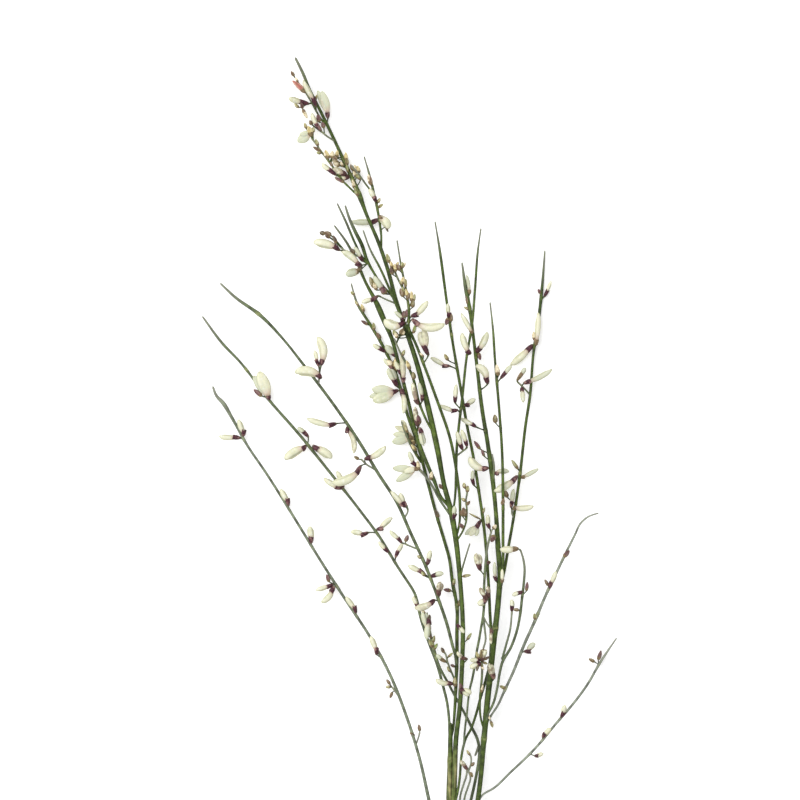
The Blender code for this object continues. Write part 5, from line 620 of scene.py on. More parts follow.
        (193.0, 55.3, 195.0, 54.5, 0.57, 0.2, "b"), (191.8, 56.4, 190.4, 59.4, 0.75, 1.8, "o"),
        (192.4, 56.2, 192.4, 60.4, 0.7, 1.4, "b"), (193.4, 56.0, 195.8, 57.6, 0.6, 1.2, "d"),
        (191.4, 54.4, 190.6, 51.6, 0.6, 1.6, "d"), (192.2, 54.0, 193.6, 52.2, 0.5, 0.8, "c"),
        (192.4, 42.6, 193.1, 46.4, 0.6, 0.9, "c"),
    ],
    "twig_low_2": [
        (188.0, 17.8, 186.7, 20.2, 0.57, 0.2, "o"), (188.3, 13.6, 189.8, 15.2, 0.69, 0.45, "b"),
        (188.0, 11.4, 189.1, 9.2, 0.69, 0.5, "b"),
    ],
    "twig_mid_8": [
        (167.5, 131.6, 167.0, 135.6, 1.0, 0.9, "c"),
    ],
}

alongScale = 100.0           # mm of twig to one unit of its "along" value
steepest = 0.95              # rise of a path past which x takes the part of up
clearance = 0.05             # mm kept between the spray and the table
restGap = 0.12               # mm kept between the flowers and buds and the table
asTwig, asCalyx, asPetal, asBud = range(4)   # a piece's materials by number


# Each vector divided by its own length
def unit(v):
    return v / np.maximum(np.linalg.norm(v, axis=-1, keepdims=True), 1e-9)


# Even angles once round, in radians
def turnAngles(count):
    return 2 * math.pi * np.arange(count) / count


# Smooth path through the points: on each stretch a cubic whose slope at a point is the
# chord slopes on both sides of it, weighted by the other side's length
def smoothPath(points, samples):
    points = np.asarray(points, float)
    step = np.linalg.norm(np.diff(points[:, :3], axis=0), axis=1)
    reach = np.concatenate([[0.0], np.cumsum(step)])
    slope = np.diff(points, axis=0) / step[:, None]
    tangent = np.empty_like(points)
    tangent[0] = slope[0]
    tangent[-1] = slope[-1]
    before = step[:-1, None]
    after = step[1:, None]
    tangent[1:-1] = (slope[:-1] * after + slope[1:] * before) / (before + after)
    if np.isscalar(samples):
        samples = np.linspace(0.0, reach[-1], max(int(reach[-1] / samples) + 1, 4))
    i = np.clip(np.searchsorted(reach, samples, side="right") - 1, 0, len(step) - 1)
    h = step[i][:, None]
    u = ((samples - reach[i]) / step[i])[:, None]
    path = ((1 + 2 * u) * (1 - u) ** 2 * points[i] + u * (1 - u) ** 2 * h * tangent[i]
            + u * u * (3 - 2 * u) * points[i + 1] - u * u * (1 - u) * h * tangent[i + 1])
    return path, samples


# The direction of a path at each of its points, and two square to it: sideways and up
def pathFrame(path):
    along = unit(np.gradient(path, axis=0))
    steep = np.abs(along[:, 2:3]) > steepest
    side = unit(np.cross(along, np.where(steep, (1.0, 0.0, 0.0), (0.0, 0.0, 1.0))))
    return along, side, np.cross(side, along)


# Quadratic curve from start to end, drawn towards bend, t from 0 to 1
def arc(start, bend, end, t):
    t = np.asarray(t)[:, None]
    return (1 - t) ** 2 * start + 2 * t * (1 - t) * bend + t ** 2 * end


# An arc whose middle stands off its chord to the left by bow
def bowedPath(start, end, bow, t):
    along = unit(end - start)
    left = np.array((-along[1], along[0], 0.0))
    return arc(start, (start + end) / 2 + 2 * bow * left, end, t)


# A profile carried along a path: each point of the grid is the path's, moved sideways by
# across and up by rise
def carried(path, side, up, across, rise):
    return (path[:, None] + across[:, :, None] * side[:, None]
            + rise[:, :, None] * up[:, None])


# Quads of a grid that closes round its columns
def wrappedQuads(rows, columns):
    i, j = np.meshgrid(np.arange(rows - 1), np.arange(columns), indexing="ij")
    k = (j + 1) % columns
    return np.stack([i * columns + j, (i + 1) * columns + j,
                     (i + 1) * columns + k, i * columns + k], axis=-1).reshape(-1, 4)


# One piece of a node's mesh. grid is rows by columns by xyz. A round one closes round its
# columns and runs to a pole, the mean of its end row, at each end. Values are given for each
# row or each point.
def roundPart(grid, stuff, along=0.0, ridge=0.0, scar=0.0, tint=0.0, age=0.0):
    rows, columns = grid.shape[:2]
    points = np.concatenate([grid.reshape(-1, 3), grid[:1].mean(axis=1),
                             grid[-1:].mean(axis=1)])
    ring = np.arange(columns)
    turn = (ring + 1) % columns
    last = (rows - 1) * columns
    first = np.stack([ring, turn, np.full(columns, rows * columns)], axis=-1)
    final = np.stack([last + turn, last + ring, np.full(columns, rows * columns + 1)], axis=-1)
    return finishPart(points, wrappedQuads(rows, columns), np.concatenate([first, final]),
                      stuff, rows, columns, (along, ridge, scar, tint, age))


# A sheet is its middle surface, moved out by half the thickness on both faces and closed
# along its four edges
def sheetPart(grid, thickness, stuff, along=0.0, tint=0.0, age=0.0, ridge=1.0, scar=0.0):
    rows, columns = grid.shape[:2]
    facing = unit(np.cross(np.gradient(grid, axis=0), np.gradient(grid, axis=1)))
    half = thickness / 2 * facing
    ring = np.concatenate([grid + half, (grid - half)[:, ::-1]], axis=1)
    width = 2 * columns
    a = np.arange(columns - 1)
    cap = np.stack([a, a + 1, width - 2 - a, width - 1 - a], axis=-1)
    last = (rows - 1) * width + cap[:, ::-1]
    quads = np.concatenate([wrappedQuads(rows, width), cap, last])
    ridge = np.broadcast_to(ridge, (rows, columns))
    ridge = np.concatenate([ridge, ridge[:, ::-1]], axis=1)
    return finishPart(ring.reshape(-1, 3), quads, np.zeros((0, 3), int), stuff, rows, width,
                      (along, ridge, scar, tint, age))


# Keeps the points off the table, turns the faces outwards by the sign of the enclosed
# volume and spreads the values over the points, a pole taking the mean of the row beside it
def finishPart(points, quads, tris, stuff, rows, columns, given):
    points = points.copy()
    points[:, 2] = np.maximum(points[:, 2], clearance)
    corners = np.concatenate([quads[:, :3], quads[:, [0, 2, 3]], tris])
    a, b, c = (points[corners[:, n]] - points[0] for n in range(3))
    if np.einsum("ij,ij->", a, np.cross(b, c)) < 0:
        quads = quads[:, ::-1]
        tris = tris[:, ::-1]
    values = []
    for value in given:
        value = np.asarray(value, float)
        if value.ndim == 1:
            value = value[:, None]
        spread = np.broadcast_to(value, (rows, columns)).reshape(-1)
        ends = (spread[:columns].mean(), spread[-columns:].mean())
        values.append(np.concatenate([spread, ends])[:len(points)])
    return points, quads, tris, stuff, np.stack(values)


stalkLook = {
    "rows": 7,
    "round": 8,
    "flower": 0.33,          # mm, radius under a flower
    "bud": 0.27,             # mm, radius under a bud
    "ends": 1.25,            # radius at the ends, as a share
    "waist": 0.45,           # how much thinner it is in the middle
    "bend": 0.35,            # how much it turns to the flower's heading
    "lean": 0.6,             # how far down the twig it starts, as a share of its reach out
    "mostLean": 1.2,         # mm
    "along": (0.2, 0.5),     # its colour's "along" value at the twig, and how much it grows
    "ridge": 0.5,            # the same for its "ridge" and "scar" values
    "scar": 0.35,
}


# Where on a node's lines a flower or bud grows, as line number, length from the tip and
# point. It is the nearest point, moved down the twig by slide and by the stalk's lean.
def hostPoint(node, x, y, slide):
    best = None
    for number, line in enumerate(twigLines[node]):
        points = np.array(line)
        reach = 0.0
        for a, b in zip(points[:-1], points[1:]):
            step = b - a
            flat = step[:2]
            share = np.clip(np.dot((x, y) - a[:2], flat) / np.dot(flat, flat), 0, 1)
            near = a + step * share
            gap = math.hypot(x - near[0], y - near[1])
            length = np.linalg.norm(step[:3])
            if best is None or gap < best[0]:
                down = slide + min(stalkLook["lean"] * gap, stalkLook["mostLean"])
                moved = min(share + down / np.linalg.norm(flat), 1.0)
                best = (gap, number, reach + moved * length, a + step * moved)
            reach += length
    return best[1:]


# A stalk: a round tube from the twig's middle to the flower's base, bent towards its heading
# and thinner by a sine in its middle
def stalkPart(start, end, heading, radius, tint):
    look = stalkLook
    length = np.linalg.norm(end - start)
    middle = (start + end) / 2
    bend = middle + (end - heading * length / 2 - middle) * look["bend"]
    t = np.linspace(0, 1, look["rows"])
    path = arc(start, bend, end, t)
    side, up = pathFrame(path)[1:]
    angle = turnAngles(look["round"])
    size = (radius * (look["ends"] - look["waist"] * np.sin(math.pi * t)))[:, None]
    grid = carried(path, side, up, size * np.cos(angle), size * np.sin(angle))
    first, growth = look["along"]
    return roundPart(grid, asTwig, first + growth * t, look["ridge"], look["scar"], tint)


twigLook = {
    "spacing": 1.1,          # mm between rings along a twig
    "tipRings": (0.0, 0.1, 0.3, 0.6),     # mm from the tip
    "tip": 0.33,             # mm, the least radius
    "tipRound": 0.6,         # mm over which the tip rounds off
    "ridges": 7,             # lengthwise ridges round a twig
    "ridgeHeight": 0.07,     # share of the radius
    "thin": 0.5,             # mm, a thin twig has fewer points round it
    "thinRound": 10,
    "swelling": 0.16,        # how much a twig thickens where something grows from it
    "swellingReach": 0.9,    # mm
    "swellingFull": 0.6,     # mm, a thicker twig swells by a smaller share
    # A twig's "ridge" value mixes its ridges with painted light and shade: it is higher where a
    # point looks up, as if lit from above, and lower underneath
    "ridgeTone": 0.3,        # how much of the "ridge" value comes from the ridges
    "paintedTopLight": 0.7,          # and from how far a point looks up
    "scarSwelling": 2.0,     # times a growth's
    "scarReach": 1.2,        # mm
    "stub": 0.8,             # mm, a line whose second radius is larger has no young tip
    "tipReach": 16.0,        # mm from a twig's tip over which its colour is young
    "foot": 1.25,            # how much wider a foot is where it goes into its stem
    "footDepth": 1.0,        # mm that a foot runs down inside its stem, and besides
    "footSlope": 1.5,        # this many times its distance to the stem's middle
    "slant": 0.39,           # of the cut at the butt
    "slantReach": 4.0,       # mm
    "cutRings": (0.97, 0.93, 0.7, 0.4),   # radii on the cut, as shares of its own
    "cutTone": 0.8,
}


# Where a twig's foot grows from: below the nearest point on another node's twigs, by the
# foot's depth and its slope times the distance to the middle of that twig
def parentPoint(node, foot):
    best = None
    for other, lines in twigLines.items():
        if other == node:
            continue
        for line in lines:
            path, reach = smoothPath(line, 0.5)
            gaps = np.linalg.norm(path[:, :3] - foot[:3], axis=1) - path[:, 3]
            n = int(gaps.argmin())
            if best is None or gaps[n] < best[0]:
                below = twigLook["footSlope"] * (gaps[n] + path[n, 3])
                below = reach[n] + twigLook["footDepth"] + below
                n = min(np.searchsorted(reach, below), len(path) - 1)
                best = (gaps.min(), path[n, :3])
    return best[1]


# A twig: a ring with cosine ridges carried along its smooth path. Its radius is the line's,
# with a swelling of bell shape where something grows from it and a root of the length at its
# tip. A slanted end is cut bare. "along" is the length from the tip, and on a line with a
# thick second point it starts past the young tip.
def twigPart(line, growths, foot, marks, slant):
    look = twigLook
    points = np.array(line, float)
    if foot is not None:
        points = np.vstack([points, np.append(foot, points[-1, 3] * look["foot"])])
    whole = np.linalg.norm(np.diff(points[:, :3], axis=0), axis=1).sum()
    steps = np.linspace(1.0, whole, max(int(whole / look["spacing"]), 3))
    path, reach = smoothPath(points, np.concatenate([look["tipRings"], steps]))
    radius = np.maximum(path[:, 3], look["tip"])
    path = path[:, :3]
    side, up = pathFrame(path)[1:]
    swell = np.zeros(len(path))
    for spot in growths:
        swell += np.exp(-((reach - spot) / look["swellingReach"]) ** 2)
    swell = np.minimum(swell, 1.0)
    for spot in marks:
        bell = np.exp(-((reach - spot) / look["scarReach"]) ** 2)
        swell = np.maximum(swell, look["scarSwelling"] * bell)
    radius = radius * (1 + look["swelling"] * swell
                       * np.minimum(1.0, look["swellingFull"] / radius))
    radius = radius * np.sqrt(np.clip(reach / look["tipRound"], 0.02, 1.0))
    count = 2 * look["ridges"] if radius.max() > look["thin"] else look["thinRound"]
    angle = turnAngles(count)
    ridge = (1 + np.cos(count / 2 * angle)) / 2
    ring = radius[:, None] * (1 + look["ridgeHeight"] * (ridge - 0.5))
    grid = carried(path, side, up, ring * np.cos(angle), ring * np.sin(angle))
    # Painted light and shade: the value rises on the upper side of the ring, and underneath only
    # the ridges are left
    tone = look["ridgeTone"] * ridge + look["paintedTopLight"] * np.maximum(np.sin(angle), 0)
    tone = np.broadcast_to(tone, (len(path), count))
    bare = np.zeros(len(path))
    if line[1][3] > look["stub"]:
        reach = reach + look["tipReach"]
    if slant:
        middle = path[:, None]
        share = np.clip(1 + (reach - reach[-1]) / look["slantReach"], 0, 1)[:, None] ** 2
        grid[:, :, 1] += slant * share * (grid - middle)[:, :, 0]
        inner = np.array(look["cutRings"])[:, None, None]
        grid = np.concatenate([grid, middle[-1:] + (grid[-1:] - middle[-1:]) * inner])
        tone = np.concatenate([tone, np.full((len(inner), count), look["cutTone"])])
        reach, swell = (np.append(v, np.full(len(inner), v[-1])) for v in (reach, swell))
        bare = np.append(bare, np.ones(len(inner)))
    return roundPart(grid, asTwig, reach / alongScale, tone, swell, chance.random(), bare)


calyxLook = {
    "round": 20,
    "teeth": 5,
    "toothLength": 0.26,     # mm
    "pointed": 1.6,          # power of the teeth's wave
    "lip": 0.22,             # mm, how uneven the rim is
    "foot": 0.8,             # radius at the foot, as a share of what is given
    "wall": 0.13,            # mm
    "inner": 9,              # the ring from which the wall comes back inside
    "rise": (-0.03, 0.02, 0.1, 0.22, 0.38, 0.56, 0.76, 0.92, 1.0, 1.0, 0.8, 0.45),
    "swell": (0.0, 0.16, 0.36, 0.58, 0.78, 0.92, 1.0, 1.03, 0.99, 0.99, 0.8, 0.7),
}


# A calyx: a bell turned round the line from base to mouth, in rings whose place and radius
# the dictionary gives as shares. Its rim has five pointed teeth, a power of a cosine wave,
# and the wall comes back inside to a pole about halfway down.
def calyxPart(base, mouth, baseRadius, mouthRadius, tint, age=0.0):
    look = calyxLook
    along, side, up = (v[0] for v in pathFrame(np.stack([base, mouth])))
    length = np.linalg.norm(mouth - base)
    angle = turnAngles(look["round"])
    wave = 0.5 + 0.5 * np.cos(look["teeth"] * angle)
    tooth = wave ** look["pointed"] * look["toothLength"]
    lip = look["lip"] * np.cos(2 * angle + 3 * tint)
    share = np.array(look["rise"])
    t = np.clip(share, 0, 1)
    foot = baseRadius * look["foot"]
    bell = foot + (mouthRadius - foot) * np.array(look["swell"])
    bell[look["inner"]:] -= look["wall"]
    rise = share[:, None] * length + t[:, None] ** 3 * (tooth + lip)
    grid = (base + rise[:, :, None] * along
            + (bell[:, None] * np.cos(angle))[:, :, None] * side
            + (bell[:, None] * np.sin(angle))[:, :, None] * up)
    return roundPart(grid, asCalyx, t, wave[None, :], 0.0, tint, age)


petalLook = {
    "thickness": 0.15,       # mm
    "bannerRows": 15,
    "bannerColumns": 9,
    "waviness": 0.05,        # share of the width
    "flare": 0.1,            # how much the free edges stand off
    "closing": 0.08,         # how much the fold closes towards the tip
    "depth": 0.62,           # of a folded banner, as a share of its width
    "keelRows": 12,
    "keelRound": 12,
    "keelEdge": 0.25,        # how far the keel's sharp side stands out
    "keelDepth": 0.6,        # share of its width
    "wingRows": 11,
    "wingColumns": 6,
    "wingThickness": 0.12,   # mm
    "wingStand": 0.3,        # off the keel, as a share of the width
    "wingSwell": 0.16,
}


# Outline of a petal along its length, as a share of its full width: a quarter sine that
# rises from start to 1 at the middle, times a power of one that falls to 0 at the tip
def petalOutline(t, start=0.55, blunt=0.5, taper=0.32):
    rise = start + (1 - start) * np.sin(np.clip(t / 0.5, 0, 1) * math.pi / 2)
    fall = np.clip((1 - t) / taper, 0, 1)
    return rise * np.sin(fall * math.pi / 2) ** blunt


# Steps along a petal, from 0 to 1, closer together near its tip: even ones and a quarter
# sine, mixed
def petalSteps(rows):
    u = np.linspace(0, 1, rows)
    return 0.35 * u + 0.65 * np.sin(u * math.pi / 2)


# The banner of a closed flower: a sheet folded round the outer side of the bowed path.
# Across it the angle runs from one free edge over the fold to the other, and its radius is
# the outline with a flare by the cube and a slow wave by the square of that angle.
def foldedBanner(start, end, bow, width, turn, wrap, tint, age, mauve):
    look = petalLook
    t = petalSteps(look["bannerRows"])
    path = bowedPath(start, end, bow, t)
    side, up = pathFrame(path)[1:]
    t = t[:, None]
    v = np.linspace(-1, 1, look["bannerColumns"])
    outline = np.maximum(petalOutline(t), 0.05)
    angle = v * wrap * (1 - look["closing"] * t)
    flare = 1 + look["flare"] * np.abs(v) ** 3 * np.sin(math.pi * t)
    wave = 1 + look["waviness"] * np.abs(v) ** 2 * np.sin(9 * t + 8 * tint)
    size = 0.5 * width * outline * flare * wave
    grid = carried(path, -turn * side, up, size * np.cos(angle),
                   look["depth"] * size * np.sin(angle))
    # rim is painted shade: lower where the folded petal turns away from the light, at its fold and
    # its free edges, and towards its tip
    rim = np.abs(np.sin(angle)) * np.clip((1 - np.abs(v)) / 0.12, 0.3, 1)
    rim = rim * np.clip((1 - t) / 0.1, 0.3, 1)
    return sheetPart(grid, look["thickness"], asPetal, t, tint, age, rim, mauve)


# A keel: a round body along a bowed path, its radius the outline, drawn out to an edge by
# the square of the cosine on the inner side of the bow
def keelPart(start, end, bow, width, turn, tint, age, mauve):
    look = petalLook
    t = petalSteps(look["keelRows"])
    path = bowedPath(start, end, bow, t)
    side, up = pathFrame(path)[1:]
    angle = turnAngles(look["keelRound"])
    size = 0.5 * width * np.maximum(petalOutline(t, 0.6), 0.04)[:, None]
    across = np.cos(angle) * (1 + look["keelEdge"] * np.maximum(np.cos(angle), 0) ** 2)
    grid = carried(path, turn * side, up, size * across,
                   look["keelDepth"] * size * np.sin(angle))
    # Its "ridge" value is painted shade, falling on its sides where it turns from the light
    return roundPart(grid, asPetal, t, np.abs(np.sin(angle))[None, :], mauve, tint, age)


# A wing: a thin blade beside the keel, above or below it by level, that bows out by a sine
# along it and a square across it
def wingPart(start, end, bow, width, turn, level, tint, age, mauve):
    look = petalLook
    t = petalSteps(look["wingRows"])
    path = bowedPath(start, end, bow, t)
    side, up = pathFrame(path)[1:]
    t = t[:, None]
    v = np.linspace(-1, 1, look["wingColumns"])
    outline = np.maximum(petalOutline(t, 0.45), 0.06)
    swell = np.sin(math.pi * np.clip(t, 0, 1))
    stand = look["wingStand"] + look["wingSwell"] * swell * (1 - v ** 2)
    grid = carried(path, turn * side, up, 0.5 * width * outline * v,
                   level * width * stand * outline ** 0.5)
    # rim is painted shade towards its edges
    rim = np.clip((1 - np.abs(v)) / 0.3, 0.2, 1)
    return sheetPart(grid, look["wingThickness"], asPetal, t, tint, age, rim, mauve)


bladeLook = {
    "rows": 17,
    "columns": 13,
    "notch": 0.05,           # share of the length
    "dome": 0.12,            # these four as shares of the width
    "cup": 0.16,
    "wave": 0.03,
    "fold": 0.04,
}


# An opened petal: a blade with a narrow foot and a round tip, notched in its middle. It is
# domed by a sine along it and a square across it, with a shallow fold down its middle and
# waves near its edge.
def openBlade(start, end, width, tint, age, mauve):
    look = bladeLook
    t = petalSteps(look["rows"])[:, None]
    v = np.linspace(-1, 1, look["columns"])
    along = unit(end - start)
    side = unit(np.cross(along, (0.0, 0.0, 1.0)))
    up = np.cross(side, along)
    length = np.linalg.norm(end - start)
    outline = np.maximum(petalOutline(t, 0.3, 0.5, 0.5), 0.06)
    across = 0.5 * width * outline * v
    edge = np.abs(v) ** 2
    reach = length * (t - look["notch"] * np.exp(-(v / 0.25) ** 2) * t ** 4)
    rise = (look["dome"] * width * np.sin(math.pi * t)
            - look["cup"] * width * outline * edge
            + look["wave"] * width * edge * np.sin(11 * t + 9 * tint + 2 * v)
            - look["fold"] * width * np.exp(-(v / 0.2) ** 2) * outline)
    grid = (start + reach[:, :, None] * along + across[:, :, None] * side
            + rise[:, :, None] * up)
    # rim is painted shade towards its edges and its tip
    rim = np.clip((1 - np.abs(v)) / 0.2, 0.2, 1) * np.clip((1 - t) / 0.06, 0.3, 1)
    return sheetPart(grid, petalLook["thickness"], asPetal, t, tint, age, rim, mauve)


# A point raised to where something of that half height clears the table
def aboveTable(x, y, z, halfHeight):
    return np.array((x, y, max(z, halfHeight + restGap)))


# Shares of green, of pale and of mauve in the petals, and of olive in the calyx
flowerTones = {
    "closed": (0.4, 0.1, 0.0, 0.0), "half": (0.4, 0.2, 0.05, 0.0),
    "pale": (0.3, 0.8, 0.0, 0.0), "cream": (0.15, 0.0, 0.0, 0.0),
    "gilt": (0.6, 0.8, 0.0, 1.0), "olive": (1.0, 0.1, 0.15, 0.0),
    "mauve": (0.2, 0.1, 0.8, 0.2), "blush": (0.1, 0.0, 0.3, 0.0),
    "dull": (0.9, 0.9, 0.0, 0.0), "fresh": (1.0, 0.35, 0.0, 0.0),
    "bicolour": (0.1, 0.0, 0.55, 0.1), "ivory": (0.15, 0.0, 0.0, 0.85),
    "leafy": (1.0, 1.0, 0.0, 1.0),
}
flowerLook = {
    "slide": 0.8,            # mm down the twig from a flower to its stalk's foot
    "baseLift": 0.6,         # height of the calyx's base, as a share of the mouth's
    "base": 0.42,            # mm, the calyx's radius at its base
    "shortStalk": 0.9,       # mm, a shorter one is drawn into the calyx
    "drawnIn": 0.2,          # share of the way from the twig to the mouth
    "intoCalyx": 0.25,       # mm that a stalk runs on inside
    "mouth": (0.36, 0.28),   # the mouth's radius is this share of the width, plus mm
    "mouthRange": (0.8, 1.15),            # mm
    "openMouth": 1.0,        # mm
    "petalStart": 0.9,       # mm below the mouth
    "tipRadius": 0.3,        # mm
    "bladeTipRadius": 0.4,   # mm
    "tintSpread": 0.6,       # how much the green of the petals varies
    "paleSpread": 0.2,
    "wrap": {"closed": 152.0, "half": 112.0},       # degrees from fold to free edge
    "bannerOut": {"closed": 0.0, "half": 0.03},     # its tip's way outwards, by the width
    "keelIn": {"closed": 0.03, "half": 0.12},       # its tip's way inwards
    "keelReach": 0.88,       # share of the petals' length
    "keelBow": (0.9, 0.19),  # share of the flower's bow, less a share of the width
    "wingOut": 0.04,         # its tip's way outwards from the keel's
    "wingReach": 0.8,
    "wingBow": (0.85, 0.15),
    "inner": 0.62,           # width of keel and wings, as a share of the flower's
    "bladeSpread": 0.2,      # how much the green of an opened petal varies
    "bladeStart": (0.2, 0.5),             # share of its height, and mm below the mouth
}


# Where a flower's calyx stands: its line and length on the twig, the twig's middle there,
# its base, its mouth and the direction between them
def calyxPlace(node, bx, by, mx, my, lift, mouthRadius):
    look = flowerLook
    number, reach, host = hostPoint(node, bx, by, look["slide"])
    base = aboveTable(bx, by, host[2] + look["baseLift"] * lift, look["base"])
    mouth = aboveTable(mx, my, host[2] + lift, mouthRadius)
    heading = unit(mouth - base)
    host = host[:3]
    if np.linalg.norm(base - host) < look["shortStalk"]:
        base = host + (mouth - host) * look["drawnIn"]
    return number, reach, host, base, mouth, heading


# A closed or half open flower: stalk, calyx, banner and keel, and when half open two wings
def flowerParts(node, entry):
    look = flowerLook
    kind, bx, by, mx, my, tx, ty, width, bow, lift = entry[:10]
    green, pale, mauve, olive = flowerTones[entry[-1] if len(entry) > 10 else kind]
    share, more = look["mouth"]
    mouthRadius = np.clip(share * width + more, *look["mouthRange"])
    number, reach, host, base, mouth, heading = calyxPlace(node, bx, by, mx, my, lift,
                                                           mouthRadius)
    tip = aboveTable(tx, ty, host[2] + lift, look["tipRadius"])
    tint = np.clip(green + look["tintSpread"] * (chance.random() - 0.5), 0, 1)
    spread = look["paleSpread"]
    skin = (tint, pale * (1 - spread + spread * chance.random()), mauve)
    stalkEnd = base + look["intoCalyx"] * heading
    parts = [stalkPart(host, stalkEnd, heading, stalkLook["flower"], tint),
             calyxPart(base, mouth, look["base"], mouthRadius * 0.98, chance.random(), olive)]
    inside = mouth - look["petalStart"] * heading
    forward = unit(tip - mouth)
    turn = 1.0 if bow >= 0 else -1.0
    outward = unit(np.array((-forward[1], forward[0], 0.0))) * turn
    bannerEnd = tip + outward * look["bannerOut"][kind] * width
    wrap = math.radians(look["wrap"][kind])
    parts.append(foldedBanner(inside, bannerEnd, bow, width, turn, wrap, *skin))
    inner = look["inner"] * width
    keelIn = look["keelIn"][kind]
    keelEnd = mouth + (tip - mouth) * look["keelReach"] - outward * keelIn * width
    keelBow = bow * look["keelBow"][0] - turn * look["keelBow"][1] * width
    parts.append(keelPart(inside, keelEnd, keelBow, inner, turn, *skin))
    if kind == "half":
        wingIn = keelIn - look["wingOut"]
        wingEnd = mouth + (tip - mouth) * look["wingReach"] - outward * wingIn * width
        wingBow = bow * look["wingBow"][0] - turn * look["wingBow"][1] * width
        for level in (-look["inner"], look["inner"]):
            parts.append(wingPart(inside, wingEnd, wingBow, inner, turn, level, *skin))
    return parts, number, reach


# An opened flower: its stalk and calyx, and one blade for each petal
def openParts(node, entry):
    look = flowerLook
    bx, by, mx, my, lift, tone = entry[:6]
    number, reach, host, base, mouth, heading = calyxPlace(node, bx, by, mx, my, lift,
                                                           look["openMouth"])
    stalkEnd = base + look["intoCalyx"] * heading
    parts = [stalkPart(host, stalkEnd, heading, stalkLook["flower"], 0.5),
             calyxPart(base, mouth, look["base"], look["openMouth"], chance.random(),
                       flowerTones[tone][3])]
    share, below = look["bladeStart"]
    for sx, sy, tx, ty, width, height, tone in entry[6:]:
        green, pale, mauve = flowerTones[tone][:3]
        start = np.array((sx, sy, mouth[2] + share * height)) - below * heading
        tip = aboveTable(tx, ty, mouth[2] + height, look["bladeTipRadius"])
        tint = green + look["bladeSpread"] * chance.random()
        parts.append(openBlade(start, tip, width, tint, pale, mauve))
    return parts, number, reach


# Where each tone is read on the bud colours' ramp: mauve, dark, brown, leaf green,
# olive, golden, cream, pink
budTones = {"m": 0.04, "d": 0.15, "b": 0.26, "l": 0.37, "o": 0.48, "g": 0.62, "c": 0.77,
            "p": 0.96}
budLook = {
    "round": 14,
    "rows": 11,
    "slide": 0.5,            # mm down the twig from a bud to its stalk's foot
    "footLift": 0.5,         # height of its foot, as a share of the tip's
    "stalkShare": 0.12,      # how far up the bud its stalk and calyx start
    "calyxShare": 0.3,       # how far up from there the calyx reaches
    "calyxFoot": 0.3,        # mm, radius
    "calyxMouth": 0.95,      # share of the bud's radius
    "furrow": 0.05,          # share of the radius
    "tip": 0.2,              # share of the radius
    "tintSpread": 0.08,      # how much the tone varies
}


# A bud: an egg turned round its axis, with a calyx cup over its lower part. Its radius
# follows the root of a half sine, a little fuller below, with five shallow furrows.
def budParts(node, entry):
    look = budLook
    fx, fy, tx, ty, radius, lift, tone = entry
    number, reach, host = hostPoint(node, fx, fy, look["slide"])
    foot = aboveTable(fx, fy, host[2] + look["footLift"] * lift, radius)
    tip = aboveTable(tx, ty, host[2] + lift, radius)
    heading = unit(tip - foot)
    tint = budTones[tone] + look["tintSpread"] * (chance.random() - 0.5)
    start = foot + (tip - foot) * look["stalkShare"]
    parts = [stalkPart(host[:3], start + 0.1 * heading, heading, stalkLook["bud"], tint)]
    t = np.linspace(0.02, 1, look["rows"])
    angle = turnAngles(look["round"])
    length = np.linalg.norm(tip - start)
    along, side, up = (v[0] for v in pathFrame(np.stack([start, tip])))
    size = radius * np.sin(math.pi * np.minimum(t ** 0.9, 0.98)) ** 0.5 * (1.06 - 0.2 * t)
    size[-1] = look["tip"] * radius
    size = size[:, None] * (1 + look["furrow"] * np.cos(5 * angle + 6 * tint))
    grid = (start + (t * length)[:, None, None] * along
            + (size * np.cos(angle))[:, :, None] * side
            + (size * np.sin(angle))[:, :, None] * up)
    turned = 1.5 * angle + 1.2 * t[:, None] + 6 * tint * number
    rim = np.abs(np.cos(turned + 5 * chance.random())) ** 0.7
    parts.append(roundPart(grid, asBud, t, rim, 0.0, tint))
    cup = start + (tip - start) * look["calyxShare"]
    parts.append(calyxPart(start - 0.05 * heading, cup, look["calyxFoot"],
                           radius * look["calyxMouth"], tint, 1.0))
    return parts, number, reach


# Joins a node's parts into one mesh with its values as point attributes
def nodePiece(name, parts, materials):
    points = np.concatenate([part[0] for part in parts])
    starts = np.cumsum([0] + [len(part[0]) for part in parts[:-1]])
    corners = []
    sizes = []
    stuff = []
    for start, part in zip(starts, parts):
        quads, tris, material = part[1:4]
        corners += [(quads + start).reshape(-1), (tris + start).reshape(-1)]
        sizes += [np.full(len(quads), 4), np.full(len(tris), 3)]
        stuff.append(np.full(len(quads) + len(tris), material))
    corners = np.concatenate(corners)
    sizes = np.concatenate(sizes)
    mesh = bpy.data.meshes.new(name)
    mesh.vertices.add(len(points))
    mesh.vertices.foreach_set("co", ((points - sheetCentre) * mm).astype(np.float32).ravel())
    mesh.loops.add(len(corners))
    mesh.loops.foreach_set("vertex_index", corners.astype(np.int32))
    mesh.polygons.add(len(sizes))
    mesh.polygons.foreach_set("loop_start", (np.cumsum(sizes) - sizes).astype(np.int32))
    mesh.polygons.foreach_set("material_index", np.concatenate(stuff).astype(np.int32))
    mesh.polygons.foreach_set("use_smooth", np.ones(len(sizes), bool))
    mesh.update(calc_edges=True)
    mesh.validate()
    values = np.concatenate([part[4] for part in parts], axis=1)
    for label, value in zip(("along", "ridge", "scar", "tint", "age"), values):
        store = mesh.attributes.new(label, "FLOAT", "POINT")
        store.data.foreach_set("value", value.astype(np.float32))
    for material in materials:
        mesh.materials.append(material)
    piece = bpy.data.objects.new(name, mesh)
    bpy.context.scene.collection.objects.link(piece)
    return piece, int((sizes - 2).sum())


